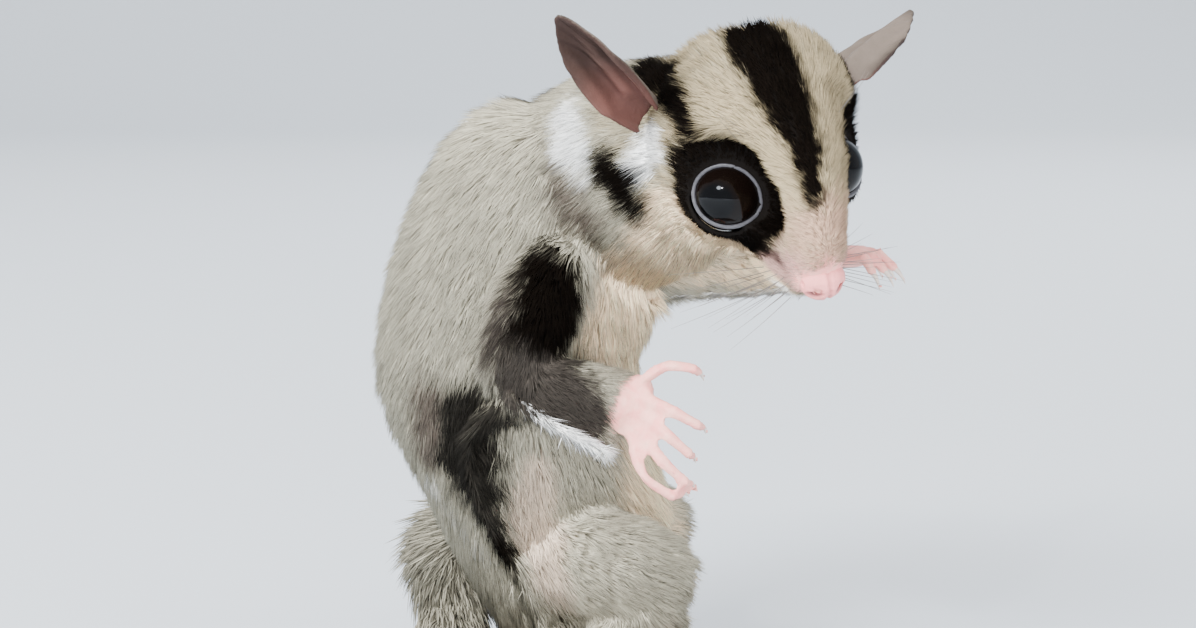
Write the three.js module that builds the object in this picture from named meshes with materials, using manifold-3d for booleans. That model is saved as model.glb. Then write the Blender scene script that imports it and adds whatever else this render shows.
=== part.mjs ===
// A young sugar glider sitting up on its haunches, head turned and lowered, one hand curled
// in a grip and the other reaching forward. Millimetres, +Z up, +X the way the body faces,
// -Y its right side. The solids reach out to the tips of the coat.
import * as THREE from "three";
import { mergeVertices } from "three/addons/utils/BufferGeometryUtils.js";
import Module from "manifold-3d";

const wasm = await Module();
wasm.setup();

// Driving dimensions.
const GAP = 0.3; // space kept between pieces that touch
const EYE_RADIUS = 4.5;
const EYE_APART = 14; // between the eyeballs' centres
const LID_RIM = 0.8; // thickness of the naked rim round each eye
const EAR_LENGTH = 18;
const EAR_WIDTH = 11.5;
const EAR_THICKNESS = 0.8;
const FINGER_RADIUS = 1.05;
const TOE_RADIUS = 1.15;
const CLAW_LENGTH = 1.6;
const TAIL_RADIUS = 5.6; // out to the tips of its hair
const TAIL_CORE_SHARE = 0.5; // of that radius, solid under the locks
const TAIL_NODES = 3;
const MEMBRANE_THICKNESS = 1.7; // the folded edge of the gliding skin
const FLOOR_FLAT = 0.5; // depth of the flats that the feet and tail rest on

// Where the body is held. Every point is in the frame before it is centred.
const HEAD_AT = [22.7, -20, 71.2]; // midway between the eyeballs
const HEAD_YAW = 27; // degrees from facing -Y towards facing +X
const HEAD_PITCH = 27; // nose down
const HEAD_ROLL = 14; // right side down
const BODY_BACK = [-0.985, 0.17, 0]; // from belly to back

const COLOURS = {
  coat: { color: 0xa39c8c, roughness: 0.95, metalness: 0 },
  cream: { color: 0xcdc0a4, roughness: 0.95, metalness: 0 },
  dark: { color: 0x2c2320, roughness: 0.95, metalness: 0 },
  skin: { color: 0xd9a3a0, roughness: 0.6, metalness: 0 },
  ear: { color: 0x6d5552, roughness: 0.7, metalness: 0 },
  eye: { color: 0x07090c, roughness: 0.08, metalness: 0 },
};

const vec = (p) => (p.isVector3 ? p.clone() : new THREE.Vector3(...p));
const radians = THREE.MathUtils.degToRad;
const mirrored = (p) => [p[0], -p[1], p[2]];

// The head's own axes in the part's frame: forward, right and up.
function headAxes() {
  const turn = radians(HEAD_YAW);
  const level = new THREE.Vector3(Math.sin(turn), -Math.cos(turn), 0);
  const side = new THREE.Vector3(-Math.cos(turn), -Math.sin(turn), 0);
  const pitch = radians(HEAD_PITCH);
  const up = new THREE.Vector3(0, 0, 1);
  const forward = level.clone().multiplyScalar(Math.cos(pitch)).addScaledVector(up, -Math.sin(pitch));
  const crown = up.multiplyScalar(Math.cos(pitch)).addScaledVector(level, Math.sin(pitch));
  const roll = radians(HEAD_ROLL);
  const right = side.clone().multiplyScalar(Math.cos(roll)).addScaledVector(crown, -Math.sin(roll));
  const top = crown.multiplyScalar(Math.cos(roll)).addScaledVector(side, Math.sin(roll));
  return { forward, right, top };
}
const HEAD = headAxes();

// A point given as forward, right and up of the eyes, in the part's frame.
function inHead([forward, right, top]) {
  return vec(HEAD_AT)
    .addScaledVector(HEAD.forward, forward)
    .addScaledVector(HEAD.right, right)
    .addScaledVector(HEAD.top, top);
}
function headDirection([forward, right, top]) {
  return inHead([forward, right, top]).sub(vec(HEAD_AT)).normalize();
}

// Solids and meshes.
function solidOf(geometry) {
  const bare = new THREE.BufferGeometry();
  bare.setAttribute("position", geometry.getAttribute("position"));
  bare.setIndex(geometry.index);
  const merged = mergeVertices(bare, 1e-4);
  const indices = new Uint32Array(merged.index.array);
  const build = () =>
    new wasm.Manifold(
      new wasm.Mesh({ numProp: 3, vertProperties: merged.attributes.position.array, triVerts: indices }),
    );
  const made = build();
  if (made.volume() > 0) return made;
  for (let i = 0; i < indices.length; i += 3) [indices[i + 1], indices[i + 2]] = [indices[i + 2], indices[i + 1]];
  return build();
}
function geometryOf(solid) {
  const mesh = solid.getMesh();
  const flat = new Float32Array(mesh.numVert * 3);
  for (let i = 0; i < mesh.numVert; i++) {
    flat.set(mesh.vertProperties.subarray(i * mesh.numProp, i * mesh.numProp + 3), i * 3);
  }
  const geometry = new THREE.BufferGeometry();
  geometry.setAttribute("position", new THREE.BufferAttribute(flat, 3));
  geometry.setIndex(new THREE.BufferAttribute(new Uint32Array(mesh.triVerts), 1));
  return geometry;
}
const union = (solids) => wasm.Manifold.union(solids);
const less = (solid, cutters) => cutters.reduce((left, cutter) => left.subtract(cutter), solid);

// Only the largest closed surface is kept, so a sealed hollow fills and a scrap drops.
function largest(solid) {
  const found = solid.decompose();
  return found.reduce((best, next) => (next.volume() > best.volume() ? next : best), found[0]);
}

// A closed body from rings of points with a pole at each end.
function ringBody(rings, firstPole, lastPole) {
  const sides = rings[0].length;
  const points = [firstPole, ...rings.flat(), lastPole];
  const faces = [];
  const at = (ring, side) => 1 + ring * sides + (side % sides);
  const last = points.length - 1;
  for (let side = 0; side < sides; side++) {
    faces.push(0, at(0, side + 1), at(0, side));
    faces.push(last, at(rings.length - 1, side), at(rings.length - 1, side + 1));
    for (let ring = 0; ring < rings.length - 1; ring++) {
      const [a, b, c, d] = [at(ring, side), at(ring, side + 1), at(ring + 1, side + 1), at(ring + 1, side)];
      faces.push(a, b, c, a, c, d);
    }
  }
  const geometry = new THREE.BufferGeometry().setFromPoints(points);
  geometry.setIndex(faces);
  return geometry;
}

// Where a swept body's cross-section lies at a share t of its length.
function sectionAt(centre, size, above, t) {
  const along = centre.getTangent(Math.min(Math.max(t, 1e-4), 1 - 1e-4)).normalize();
  const up = above.clone().addScaledVector(along, -above.dot(along)).normalize();
  const across = new THREE.Vector3().crossVectors(along, up);
  return { middle: centre.getPoint(t), along, up, across, size: size.getPoint(t).toArray() };
}

// A body swept along a smooth path. Each size is [half width, height above, depth below]
// at that point of the path, measured across it, with "back" telling which way is above.
function swept({ path, sizes, back, sides = 16, steps = 3, domes = [0, 0], power = 2, grow = 0, capSteps = 3 }) {
  const centre = new THREE.CatmullRomCurve3(path.map(vec), false, "centripetal");
  const size = new THREE.CatmullRomCurve3(sizes.map(vec), false, "centripetal");
  const count = (path.length - 1) * steps;
  const stations = [];
  const ends = domes.map((dome) => (dome > 0 ? dome : 0));
  for (let i = 1; i <= capSteps && ends[0] > 0; i++) stations.push([0, -Math.cos((i / capSteps) * Math.PI * 0.5), 0]);
  for (let i = ends[0] > 0 ? 1 : 0; i <= count; i++) stations.push([i / count, 0, 0]);
  for (let i = 1; i < capSteps && ends[1] > 0; i++) stations.push([1, Math.sin((i / capSteps) * Math.PI * 0.5), 1]);
  const above = vec(back);
  const ringAt = (t, rise, end) => {
    const at = sectionAt(centre, size, above, t);
    const { along, up, across } = at;
    const reach = (ends[end] + (ends[end] > 0 ? grow : 0)) * rise;
    const share = Math.sqrt(1 - rise * rise);
    const middle = at.middle.addScaledVector(along, reach);
    const [wide, high, low] = at.size.map((s) => (Math.max(s, 0.02) + grow) * share);
    const ring = [];
    for (let i = 0; i < sides; i++) {
      const angle = (i / sides) * Math.PI * 2;
      const [c, s] = [Math.cos(angle), Math.sin(angle)];
      const bulge = (value) => Math.sign(value) * Math.pow(Math.abs(value), 2 / power);
      ring.push(
        middle
          .clone()
          .addScaledVector(across, wide * bulge(c))
          .addScaledVector(up, (s > 0 ? high : low) * bulge(s)),
      );
    }
    return ring;
  };
  const rings = stations.map(([t, rise, end]) => ringAt(t, rise, end));
  const pole = (t, sign, end) => {
    const { middle, along } = sectionAt(centre, size, above, t);
    const reach = ends[end] > 0 ? ends[end] + grow : grow;
    return middle.addScaledVector(along, sign * reach);
  };
  return solidOf(ringBody(rings, pole(0, -1, 0), pole(1, 1, 1)));
}

// A ball, or an ellipsoid where three radii are given with the axes that they lie along.
function ball(centre, radius, axes = null, detail = [20, 13]) {
  const geometry = new THREE.SphereGeometry(1, ...detail);
  const radii = Array.isArray(radius) ? radius : [radius, radius, radius];
  const [x, y, z] = axes ?? [new THREE.Vector3(1, 0, 0), new THREE.Vector3(0, 1, 0), new THREE.Vector3(0, 0, 1)];
  const matrix = new THREE.Matrix4()
    .makeBasis(x.clone().multiplyScalar(radii[0]), y.clone().multiplyScalar(radii[1]), z.clone().multiplyScalar(radii[2]))
    .setPosition(vec(centre));
  return solidOf(geometry.applyMatrix4(matrix));
}
function slab(low, high) {
  const size = new THREE.Vector3().subVectors(vec(high), vec(low));
  const middle = new THREE.Vector3().addVectors(vec(high), vec(low)).multiplyScalar(0.5);
  return solidOf(new THREE.BoxGeometry(...size.toArray()).translate(...middle.toArray()));
}
const BELOW_FLOOR = slab([-200, -200, -60], [200, 200, 0]);

// The trunk, from the rump to the base of the neck.
const TRUNK = {
  path: [[-1, 0, 10], [-5, 0, 20], [-9.5, 0, 32], [-11.5, 0, 44], [-10.5, 0, 55], [-5.5, -0.5, 65], [0.5, -2, 71]],
  sizes: [
    [13, 12, 10],
    [17, 12.5, 16],
    [17.5, 14.5, 17.5],
    [16.5, 18.4, 17.5],
    [15, 17.8, 19],
    [13.5, 18, 18.5],
    [11, 13.5, 14],
  ],
  back: BODY_BACK,
  sides: 24,
  steps: 3,
  domes: [6, 4],
  power: 2.05,
  capSteps: 3,
};
const trunk = (grow = 0) => swept({ ...TRUNK, grow }).subtract(BELOW_FLOOR);

// The neck runs from between the shoulders into the back of the skull.
const NECK = {
  path: [[-7, -0.5, 62], [1, -2.5, 69], [9, -6.5, 73.5], [14, -10.5, 75.5]],
  sizes: [
    [12, 15, 14],
    [12.3, 15, 15.5],
    [12.5, 13.5, 15.5],
    [12, 11.5, 13],
  ],
  back: [-0.5, 0.25, 1],
  sides: 18,
  steps: 2,
  domes: [3, 3],
  capSteps: 2,
};

// The head's outline: distance forward of the eyes, height of the middle, then the sizes.
const SKULL = [
  [-18, 6, 8.5, 8, 6],
  [-13, 3, 13.2, 15.6, 11],
  [-7, 1.5, 14, 19, 13],
  [-2, 0, 12.4, 18.2, 13],
  [1.5, -1, 9.4, 16.4, 12.6],
  [5, -3, 6.3, 14.2, 10.8],
  [8, -5, 4.8, 11.6, 8.8],
  [10.2, -6.5, 4, 8.6, 6.6],
  [11.8, -7.8, 3.3, 4.4, 4.6],
];
function skull(grow = 0) {
  return swept({
    path: SKULL.map(([forward, middle]) => inHead([forward, 0, middle])),
    sizes: SKULL.map(([, , wide, high, low]) => [wide, high, low]),
    back: HEAD.top,
    sides: 22,
    steps: 2,
    domes: [3.5, 1],
    power: 2.1,
    grow,
  });
}

// The eyes look out to the side and a little up.
const GAZE_OUT = 47; // degrees from straight ahead
const GAZE_UP = 22;
function gaze(side) {
  const [out, up] = [radians(GAZE_OUT), radians(GAZE_UP)];
  return headDirection([Math.cos(out) * Math.cos(up), side * Math.sin(out) * Math.cos(up), Math.sin(up)]);
}
const eyeCentre = (side) => inHead([0, (side * EYE_APART) / 2, 0]);
const eyeball = (side, grow = 0) => ball(eyeCentre(side), EYE_RADIUS + grow, null, [16, 11]);

// The naked rim of the lids: an almond ring that follows the eyeball, longer than it is high.
function lids(side) {
  const out = gaze(side);
  const ahead = headDirection([1, 0, -0.32]);
  const long = ahead.clone().addScaledVector(out, -ahead.dot(out)).normalize();
  const high = new THREE.Vector3().crossVectors(out, long);
  const [openLong, openHigh] = [radians(67), radians(54)];
  const turns = 20;
  const section = 5;
  const points = [];
  const faces = [];
  for (let i = 0; i < turns; i++) {
    const angle = (i / turns) * Math.PI * 2;
    const corner = 1 + 0.1 * Math.pow(Math.max(Math.cos(angle), 0), 8);
    const opening = Math.hypot(Math.cos(angle) * openLong, Math.sin(angle) * openHigh) * corner;
    const around = long.clone().multiplyScalar(Math.cos(angle)).addScaledVector(high, Math.sin(angle));
    const outward = out.clone().multiplyScalar(Math.cos(opening)).addScaledVector(around, Math.sin(opening));
    const along = around.clone().multiplyScalar(Math.cos(opening)).addScaledVector(out, -Math.sin(opening));
    for (let j = 0; j < section; j++) {
      const turn = (j / section) * Math.PI * 2;
      points.push(
        eyeCentre(side)
          .addScaledVector(outward, EYE_RADIUS + 0.1 + LID_RIM * Math.cos(turn))
          .addScaledVector(along, 0.5 + LID_RIM * Math.sin(turn)),
      );
      const at = (a, b) => (a % turns) * section + (b % section);
      faces.push(at(i, j), at(i + 1, j), at(i + 1, j + 1), at(i, j), at(i + 1, j + 1), at(i, j + 1));
    }
  }
  const geometry = new THREE.BufferGeometry().setFromPoints(points);
  geometry.setIndex(faces);
  return solidOf(geometry);
}

// A round groove or cord along a smooth line.
function cordSolid(points, radius, sides = 6, steps = 2) {
  return swept({
    path: points,
    sizes: points.map(() => [radius, radius, radius]),
    back: HEAD.top,
    sides,
    steps,
    domes: [radius, radius],
    capSteps: 1,
  });
}

// Mouth, lips and nose.
// Each place on the mouth line is [share of the skull's length, degrees round from the side].
const MOUTH = [[0.66, -50], [0.76, -56], [0.88, -64]];
const MOUTH_FRONT = [0.985, -90];
const skullCentre = new THREE.CatmullRomCurve3(SKULL.map(([f, m]) => inHead([f, 0, m])), false, "centripetal");
const skullSize = new THREE.CatmullRomCurve3(SKULL.map((row) => vec(row.slice(2))), false, "centripetal");
function onSkull([share, turn], side, out) {
  const { middle, up, across, size } = sectionAt(skullCentre, skullSize, HEAD.top, share);
  const angle = radians(turn);
  const reach = Math.sin(angle) > 0 ? size[1] : size[2];
  return middle
    .addScaledVector(across, side * (size[0] + out) * Math.cos(angle))
    .addScaledVector(up, (reach + out) * Math.sin(angle));
}
const mouthLine = (rise, out) => {
  const half = (side) => MOUTH.map((place) => onSkull(place, side, out).addScaledVector(HEAD.top, rise));
  const front = onSkull(MOUTH_FRONT, 1, out).addScaledVector(HEAD.top, rise);
  return [...half(1), front, ...half(-1).reverse()];
};
const NOSE = { at: [13, 0, -6.6], radii: [2.3, 2.9, 2.5] };
const headSolidAxes = [HEAD.forward, HEAD.right, HEAD.top];
const nosePad = (grow = 0) =>
  ball(inHead(NOSE.at), NOSE.radii.map((r) => r + grow), headSolidAxes, [14, 9]);
function nose() {
  const nostril = (side) =>
    cordSolid(
      [
        inHead([NOSE.at[0] + 1.9, side * 1.15, NOSE.at[2] - 0.1]),
        inHead([NOSE.at[0] + 1.2, side * 1.9, NOSE.at[2] + 0.1]),
        inHead([NOSE.at[0] - 0.1, side * 2.75, NOSE.at[2] + 0.3]),
      ],
      0.42,
    );
  const cleft = cordSolid([[2.1, 1.8], [2.3, -0.2], [1.2, -2.2]].map(([f, u]) => inHead([NOSE.at[0] + f, 0, NOSE.at[2] + u])), 0.28);
  return less(nosePad(), [nostril(1), nostril(-1), cleft]);
}

// Ears. Each is a thin cupped leaf, rolled inwards at its root.
const EARS = {
  right: { root: [-11.5, 13.9, 10], axis: [-1.2, 10.8, 13.7], face: [0.72, 0.62, -0.1], curl: 1.0 },
  left: { root: [-10.5, -12.5, 7], axis: [-6.5, -16.2, -0.2], face: [0.5, -0.35, -0.9], curl: 0.9 },
};
function ear(which) {
  const { root, axis, face, curl } = EARS[which];
  const along = headDirection(axis);
  const front = headDirection(face);
  front.addScaledVector(along, -front.dot(along)).normalize();
  const across = new THREE.Vector3().crossVectors(along, front).normalize();
  const [rows, columns] = [10, 8];
  const start = inHead(root);
  const surface = (depth) => {
    const points = [];
    for (let i = 0; i <= rows; i++) {
      const s = i / rows;
      const leaf = Math.pow(Math.sin(Math.PI * (0.2 + 0.78 * Math.pow(s, 1.15))), 0.72) * (1 - 0.12 * s);
      const half = (EAR_WIDTH / 2) * Math.max(leaf, 0.12);
      const cup = curl * (1.55 - 0.95 * s);
      for (let j = 0; j <= columns; j++) {
        const t = (j / columns) * 2 - 1;
        const bend = t * cup;
        const radius = half / Math.max(cup, 0.2);
        const thin = depth * (1 - 0.35 * s);
        points.push(
          start
            .clone()
            .addScaledVector(along, EAR_LENGTH * (s * 1.12 - 0.18) + 0.9 * t * (1 - s))
            .addScaledVector(across, (radius + thin) * Math.sin(bend))
            .addScaledVector(front, radius - (radius + thin) * Math.cos(bend) - 0.8 * s * s),
        );
      }
    }
    return points;
  };
  const [inner, outer] = [surface(0), surface(EAR_THICKNESS)];
  const width = columns + 1;
  const offset = inner.length;
  const faces = [];
  for (let i = 0; i < rows; i++) {
    for (let j = 0; j < columns; j++) {
      const [a, b, c, d] = [i * width + j, i * width + j + 1, (i + 1) * width + j + 1, (i + 1) * width + j];
      faces.push(a, b, c, a, c, d);
      faces.push(offset + a, offset + c, offset + b, offset + a, offset + d, offset + c);
    }
  }
  const wall = (a, b) => faces.push(a, offset + a, b, b, offset + a, offset + b);
  for (let j = 0; j < columns; j++) {
    wall(j, j + 1);
    wall(rows * width + j + 1, rows * width + j);
  }
  for (let i = 0; i < rows; i++) {
    wall((i + 1) * width, i * width);
    wall(i * width + columns, (i + 1) * width + columns);
  }
  const geometry = new THREE.BufferGeometry().setFromPoints([...inner, ...outer]);
  geometry.setIndex(faces);
  return solidOf(geometry);
}

// Limbs. Each length is a path with a half width and the heights on either side of it.
const LIMBS = {
  arm_right: { path: [[-5, -9.5, 59.5], [-8.5, -15.5, 53], [-10.5, -17.8, 46.5]], radii: [7.2, 6.6, 5.6] },
  forearm_right: { path: [[-10.2, -17.8, 46.2], [-5, -20, 44.9], [2.8, -21.3, 43.4]], radii: [5.2, 5.0, 4.0] },
  arm_left: { path: [[-1, 9, 60], [7, 12.5, 58], [13.5, 13.2, 57.4]], radii: [6.8, 5.8, 5.0] },
  forearm_left: { path: [[13.5, 13.2, 57.4], [21, 11.8, 57.6], [30.5, 8.8, 58]], radii: [4.8, 4.2, 3.0] },
  thigh_right: { path: [[-7, -8, 21], [0, -14.8, 21.5], [8, -16.5, 19.5]], radii: [9.5, 8.2, 6.2] },
  shin_right: { path: [[7.6, -16.6, 17.5], [1.5, -16.8, 10.5], [-4.5, -15.2, 4.6]], radii: [5.6, 4.6, 3.4] },
};
for (const name of ["thigh", "shin"]) {
  const right = LIMBS[`${name}_right`];
  LIMBS[`${name}_left`] = { path: right.path.map(mirrored), radii: right.radii };
}
function limb(name, grow = 0) {
  const { path, radii } = LIMBS[name];
  return swept({
    path,
    sizes: radii.map((r) => [r, r, r]),
    back: [0.1, 0.2, 1],
    sides: 13,
    steps: 2,
    capSteps: 2,
    domes: [radii[0] * 0.5, radii.at(-1) * 0.75],
    grow,
  }).subtract(BELOW_FLOOR);
}

// One finger or toe: knuckle, middle and tip, with a small hooked claw.
function digit(points, radius, hasClaw = true) {
  const shaft = swept({
    path: points,
    sizes: points.map((_, i) => [radius * (1 - 0.12 * i), radius * (1 - 0.12 * i), radius * (1 - 0.12 * i)]),
    back: [0.1, -1, 0.3],
    sides: 5,
    steps: 1,
    domes: [radius, radius],
    capSteps: 1,
  });
  if (!hasClaw) return shaft;
  const tip = vec(points.at(-1));
  const ahead = tip.clone().sub(vec(points.at(-2))).normalize();
  const claw = swept({
    path: [
      tip.clone().addScaledVector(ahead, radius * 0.2),
      tip.clone().addScaledVector(ahead, radius * 0.6 + CLAW_LENGTH * 0.5).add(new THREE.Vector3(0, 0, 0.15)),
      tip.clone().addScaledVector(ahead, radius * 0.6 + CLAW_LENGTH).add(new THREE.Vector3(0, 0, -0.45)),
    ],
    sizes: [[0.42, 0.5, 0.42], [0.3, 0.4, 0.3], [0.1, 0.12, 0.1]],
    back: [0.1, -1, 0.3],
    sides: 3,
    steps: 1,
  });
  return shaft.add(claw);
}

// The right hand grips a ball that isn't there, seen from the back of its fingers. Each finger
// runs in the plane of the picture from its knuckle, at an angle in degrees, and bows sideways.
const RIGHT_FINGERS = [
  { knuckle: [5.6, 46.4], angle: 9, length: 7.2, bow: 2 },
  { knuckle: [5.6, 44.2], angle: -26, length: 8.4, bow: 0.5 },
  { knuckle: [5.5, 42.2], angle: -40, length: 8.4, bow: 0.3 },
  { knuckle: [5, 40.4], angle: -47, length: 9.8, bow: -0.4 },
  { knuckle: [4.1, 39], angle: -48, length: 9.6, bow: -2 },
];
function handRight() {
  const palm = swept({
    path: [LIMBS.forearm_right.path.at(-1), [3.6, -22, 43], [5.9, -22.8, 42.6]],
    sizes: [[3.9, 2.5, 2.2], [4.6, 2.2, 2], [4.2, 1.6, 1.5]],
    back: [0, -1, 0],
    sides: 12,
    steps: 1,
    capSteps: 2,
    domes: [1.5, 1],
  });
  const fingers = RIGHT_FINGERS.map(({ knuckle: [x, z], angle, length, bow }) => {
    const [c, s] = [Math.cos(radians(angle)), Math.sin(radians(angle))];
    const at = (share, side, depth) =>
      new THREE.Vector3(x + c * length * share - s * side, depth, z + s * length * share + c * side);
    return digit([at(0, 0, -23.4), at(0.5, bow, -26.6), at(0.92, bow * 0.4, -26.2), at(1, 0, -24.4)], FINGER_RADIUS);
  });
  return union([palm, ...fingers]);
}

// The left hand reaches forward, palm down, its fingers spread and bent at the ends.
const LEFT_HAND = { wrist: [30.5, 8.8, 58], knuckles: [35.5, 7.6, 58.3] };
function handLeft() {
  const palm = swept({
    path: [LEFT_HAND.wrist, LEFT_HAND.knuckles],
    sizes: [[2.9, 1.9, 1.8], [3.9, 1.5, 1.4]],
    back: [0, 0, 1],
    sides: 12,
    steps: 1,
    capSteps: 2,
    domes: [1.4, 1.4],
  });
  const fingers = [-2, -1, 0, 1, 2].map((place) => {
    const turn = radians(-14 + place * 17);
    const ahead = new THREE.Vector3(Math.cos(turn), Math.sin(turn), 0);
    const root = vec(LEFT_HAND.knuckles).add(new THREE.Vector3(-0.6 * Math.abs(place), place * 1.5, -0.1));
    const reach = 4.6 - 0.5 * Math.abs(place);
    return digit(
      [
        root,
        root.clone().addScaledVector(ahead, reach * 0.55).add(new THREE.Vector3(0, 0, 0.55)),
        root.clone().addScaledVector(ahead, reach).add(new THREE.Vector3(0, 0, -1.3)),
      ],
      FINGER_RADIUS,
    );
  });
  return union([palm, ...fingers]);
}

// A hind foot lies flat: a long sole, four toes ahead and a broad thumb-like toe inside.
const FOOT = { heel: [-5, 15, 2.6], ball: [8, 16.5, 2.2] };
function foot(side) {
  const place = ([x, y, z]) => new THREE.Vector3(x, -side * y, z);
  const sole = swept({
    path: [place(FOOT.heel), place([2, 16, 2.4]), place(FOOT.ball)],
    sizes: [[2.6, 2.7, 3.2], [3.2, 2.4, 3.0], [4.2, 1.9, 2.8]],
    back: [0, 0, 1],
    sides: 12,
    steps: 2,
    capSteps: 2,
    domes: [2, 1.8],
  });
  const toes = [-1.5, -0.5, 0.5, 1.5].map((across) => {
    const turn = radians(6 + across * 9);
    const ahead = place([Math.cos(turn), Math.sin(turn), 0]);
    const root = place([FOOT.ball[0] + 0.6, FOOT.ball[1] + across * 1.9, 1.2]);
    const reach = 6.6 - 0.6 * Math.abs(across);
    return digit(
      [
        root,
        root.clone().addScaledVector(ahead, reach * 0.55).add(new THREE.Vector3(0, 0, 0.5)),
        root.clone().addScaledVector(ahead, reach).add(new THREE.Vector3(0, 0, -0.4)),
      ],
      TOE_RADIUS,
    );
  });
  const thumb = digit([place([4, 13.6, 1.4]), place([7, 10.2, 1.5]), place([9.2, 8.4, 1.0])], TOE_RADIUS * 1.2, false);
  return union([sole, ...toes, thumb]).subtract(BELOW_FLOOR);
}

// The folded gliding membrane: a ridge of loose skin from the wrist, behind the elbow and
// down the flank to the ankle.
const MEMBRANES = {
  right: [[2.5, -21.2, 39.6], [-4, -20.2, 40], [-11.4, -19.6, 42.4], [-16.2, -17.2, 38.5], [-15.2, -16.8, 29.5], [-10, -18.2, 20], [-6, -17.6, 9]],
  left: [[28, 8.6, 55], [19, 12, 53.6], [9, 14.6, 52.5], [-3, 16.6, 48.5], [-9, 17.6, 39], [-10, 17.6, 28], [-8, 17.8, 18.5], [-6, 17.4, 9]],
};
function membrane(which, grow = 0) {
  const path = MEMBRANES[which];
  const last = path.length - 1;
  return swept({
    path,
    sizes: path.map((_, i) => {
      const share = Math.sin((Math.PI * (i + 0.35)) / (last + 0.7));
      return [MEMBRANE_THICKNESS, 2.0 + 3.4 * share, 0.9 + 1.4 * share];
    }),
    grow,
    back: [0.25, which === "right" ? 0.75 : -0.75, 0.6],
    sides: 8,
    steps: 2,
    domes: [1, 1],
    capSteps: 1,
  }).subtract(BELOW_FLOOR);
}

// The tail leaves the rump, drops to the floor and curls forward round the right side.
const TAIL = [
  [-8, 2, 20], [-15.5, 4, 22.6], [-20.6, 4.6, 19.5], [-20.2, 4, 11.5], [-19.4, -4, 5.6], [-16, -17.5, 5.2],
  [-8, -29, 5.2], [5, -34.5, 5.2], [18, -35, 4.9], [30, -31, 4.4], [38, -24.5, 3.2],
];
const tailCurve = new THREE.CatmullRomCurve3(TAIL.map(vec), false, "centripetal");
const tailRadius = (s) => TAIL_RADIUS * (0.86 + 0.16 * Math.sin(Math.PI * s)) * (s > 0.8 ? 1 - (s - 0.8) * 2.2 : 1);
// A direction across the tail to measure turns from, clear of every way that node runs.
const tailBack = (index) => vec(index < 2 ? [-0.6, -0.5, 0.6] : [0.02, 0.01, 1]);
const tailShare = (share) => Math.min(Math.max(share, 0), 1);
function tailCore(index) {
  const from = tailShare(index / TAIL_NODES - 0.01);
  const to = tailShare((index + 1) / TAIL_NODES + 0.01);
  const places = [0, 0.25, 0.5, 0.75, 1].map((share) => from + (to - from) * share);
  const radii = places.map((s) => tailRadius(s) * TAIL_CORE_SHARE);
  return swept({
    path: places.map((s) => tailCurve.getPointAt(s)),
    sizes: radii.map((r) => [r, r, r]),
    back: tailBack(index),
    sides: 8,
    steps: 1,
    domes: [0, index === TAIL_NODES - 1 ? radii.at(-1) * 1.6 : 0],
  });
}

// The same run of numbers from 0 to 1 every time.
function numbersFrom(seed) {
  let state = seed;
  return () => {
    state = (state * 1664525 + 1013904223) % 4294967296;
    return state / 4294967296;
  };
}

// A flat lock of hair: sunk in the core at its root, bending out and back to a narrow tip.
const LOCK_LENGTH = 14;
const LOCK_SHAPE = [
  [0, 0.15, 1.9, 1], [0.24, 0.66, 4.1, 1.5], [0.6, 0.84, 3.7, 1.3], [1, 0.98, 0.5, 0.3],
];
function lock(share, turn, index, random) {
  const above = tailBack(index);
  const reach = LOCK_LENGTH * (0.9 + 0.25 * random());
  const drift = (random() - 0.5) * 0.5;
  const plump = 0.9 + 0.2 * random();
  const total = tailCurve.getLength();
  let outward = above;
  const path = LOCK_SHAPE.map(([along, rise]) => {
    const s = share + (along * reach) / total;
    const end = tailShare(s);
    const tangent = tailCurve.getTangentAt(end);
    const up = above.clone().addScaledVector(tangent, -above.dot(tangent)).normalize();
    const side = new THREE.Vector3().crossVectors(tangent, up);
    const angle = turn + drift * along;
    outward = up.multiplyScalar(Math.cos(angle)).addScaledVector(side, Math.sin(angle));
    const past = (s - end) * total;
    const radius = tailRadius(end) * rise * (1 - Math.min(past / 9, 0.75));
    return tailCurve.getPointAt(end).addScaledVector(outward, radius).addScaledVector(tangent, past);
  });
  return swept({
    path,
    sizes: LOCK_SHAPE.map(([, , wide, thick]) => [wide * plump, thick * plump, thick * plump]),
    back: outward,
    sides: 4,
    steps: 1,
  });
}
const LOCK_ROWS = 5;
const LOCKS_AROUND = 3;
function tailNode(index) {
  const random = numbersFrom(101 + index);
  const locks = [];
  const lastRow = index === TAIL_NODES - 1 ? LOCK_ROWS - 2 : LOCK_ROWS - 1;
  for (let row = index === 0 ? 0 : -1; row <= lastRow; row++) {
    for (let i = 0; i < LOCKS_AROUND; i++) {
      const share = (index + (row + 0.3 * random()) / LOCK_ROWS) / TAIL_NODES;
      const turn = ((i + 0.5 * (row & 1) + 0.3 * random()) / LOCKS_AROUND) * Math.PI * 2;
      locks.push(lock(share, turn, index, random));
    }
  }
  return union([tailCore(index), ...locks]);
}
// What lies before or beyond the place across the tail where two of its lengths meet.
function tailCut(share, beyond) {
  const height = 4;
  const geometry = new THREE.CylinderGeometry(9, 9, height, 24);
  const along = tailCurve.getTangentAt(share).multiplyScalar(beyond);
  geometry.translate(0, (height - GAP) / 2, 0);
  geometry.applyQuaternion(new THREE.Quaternion().setFromUnitVectors(new THREE.Vector3(0, 1, 0), along));
  return solidOf(geometry.translate(...tailCurve.getPointAt(share).toArray()));
}

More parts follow.
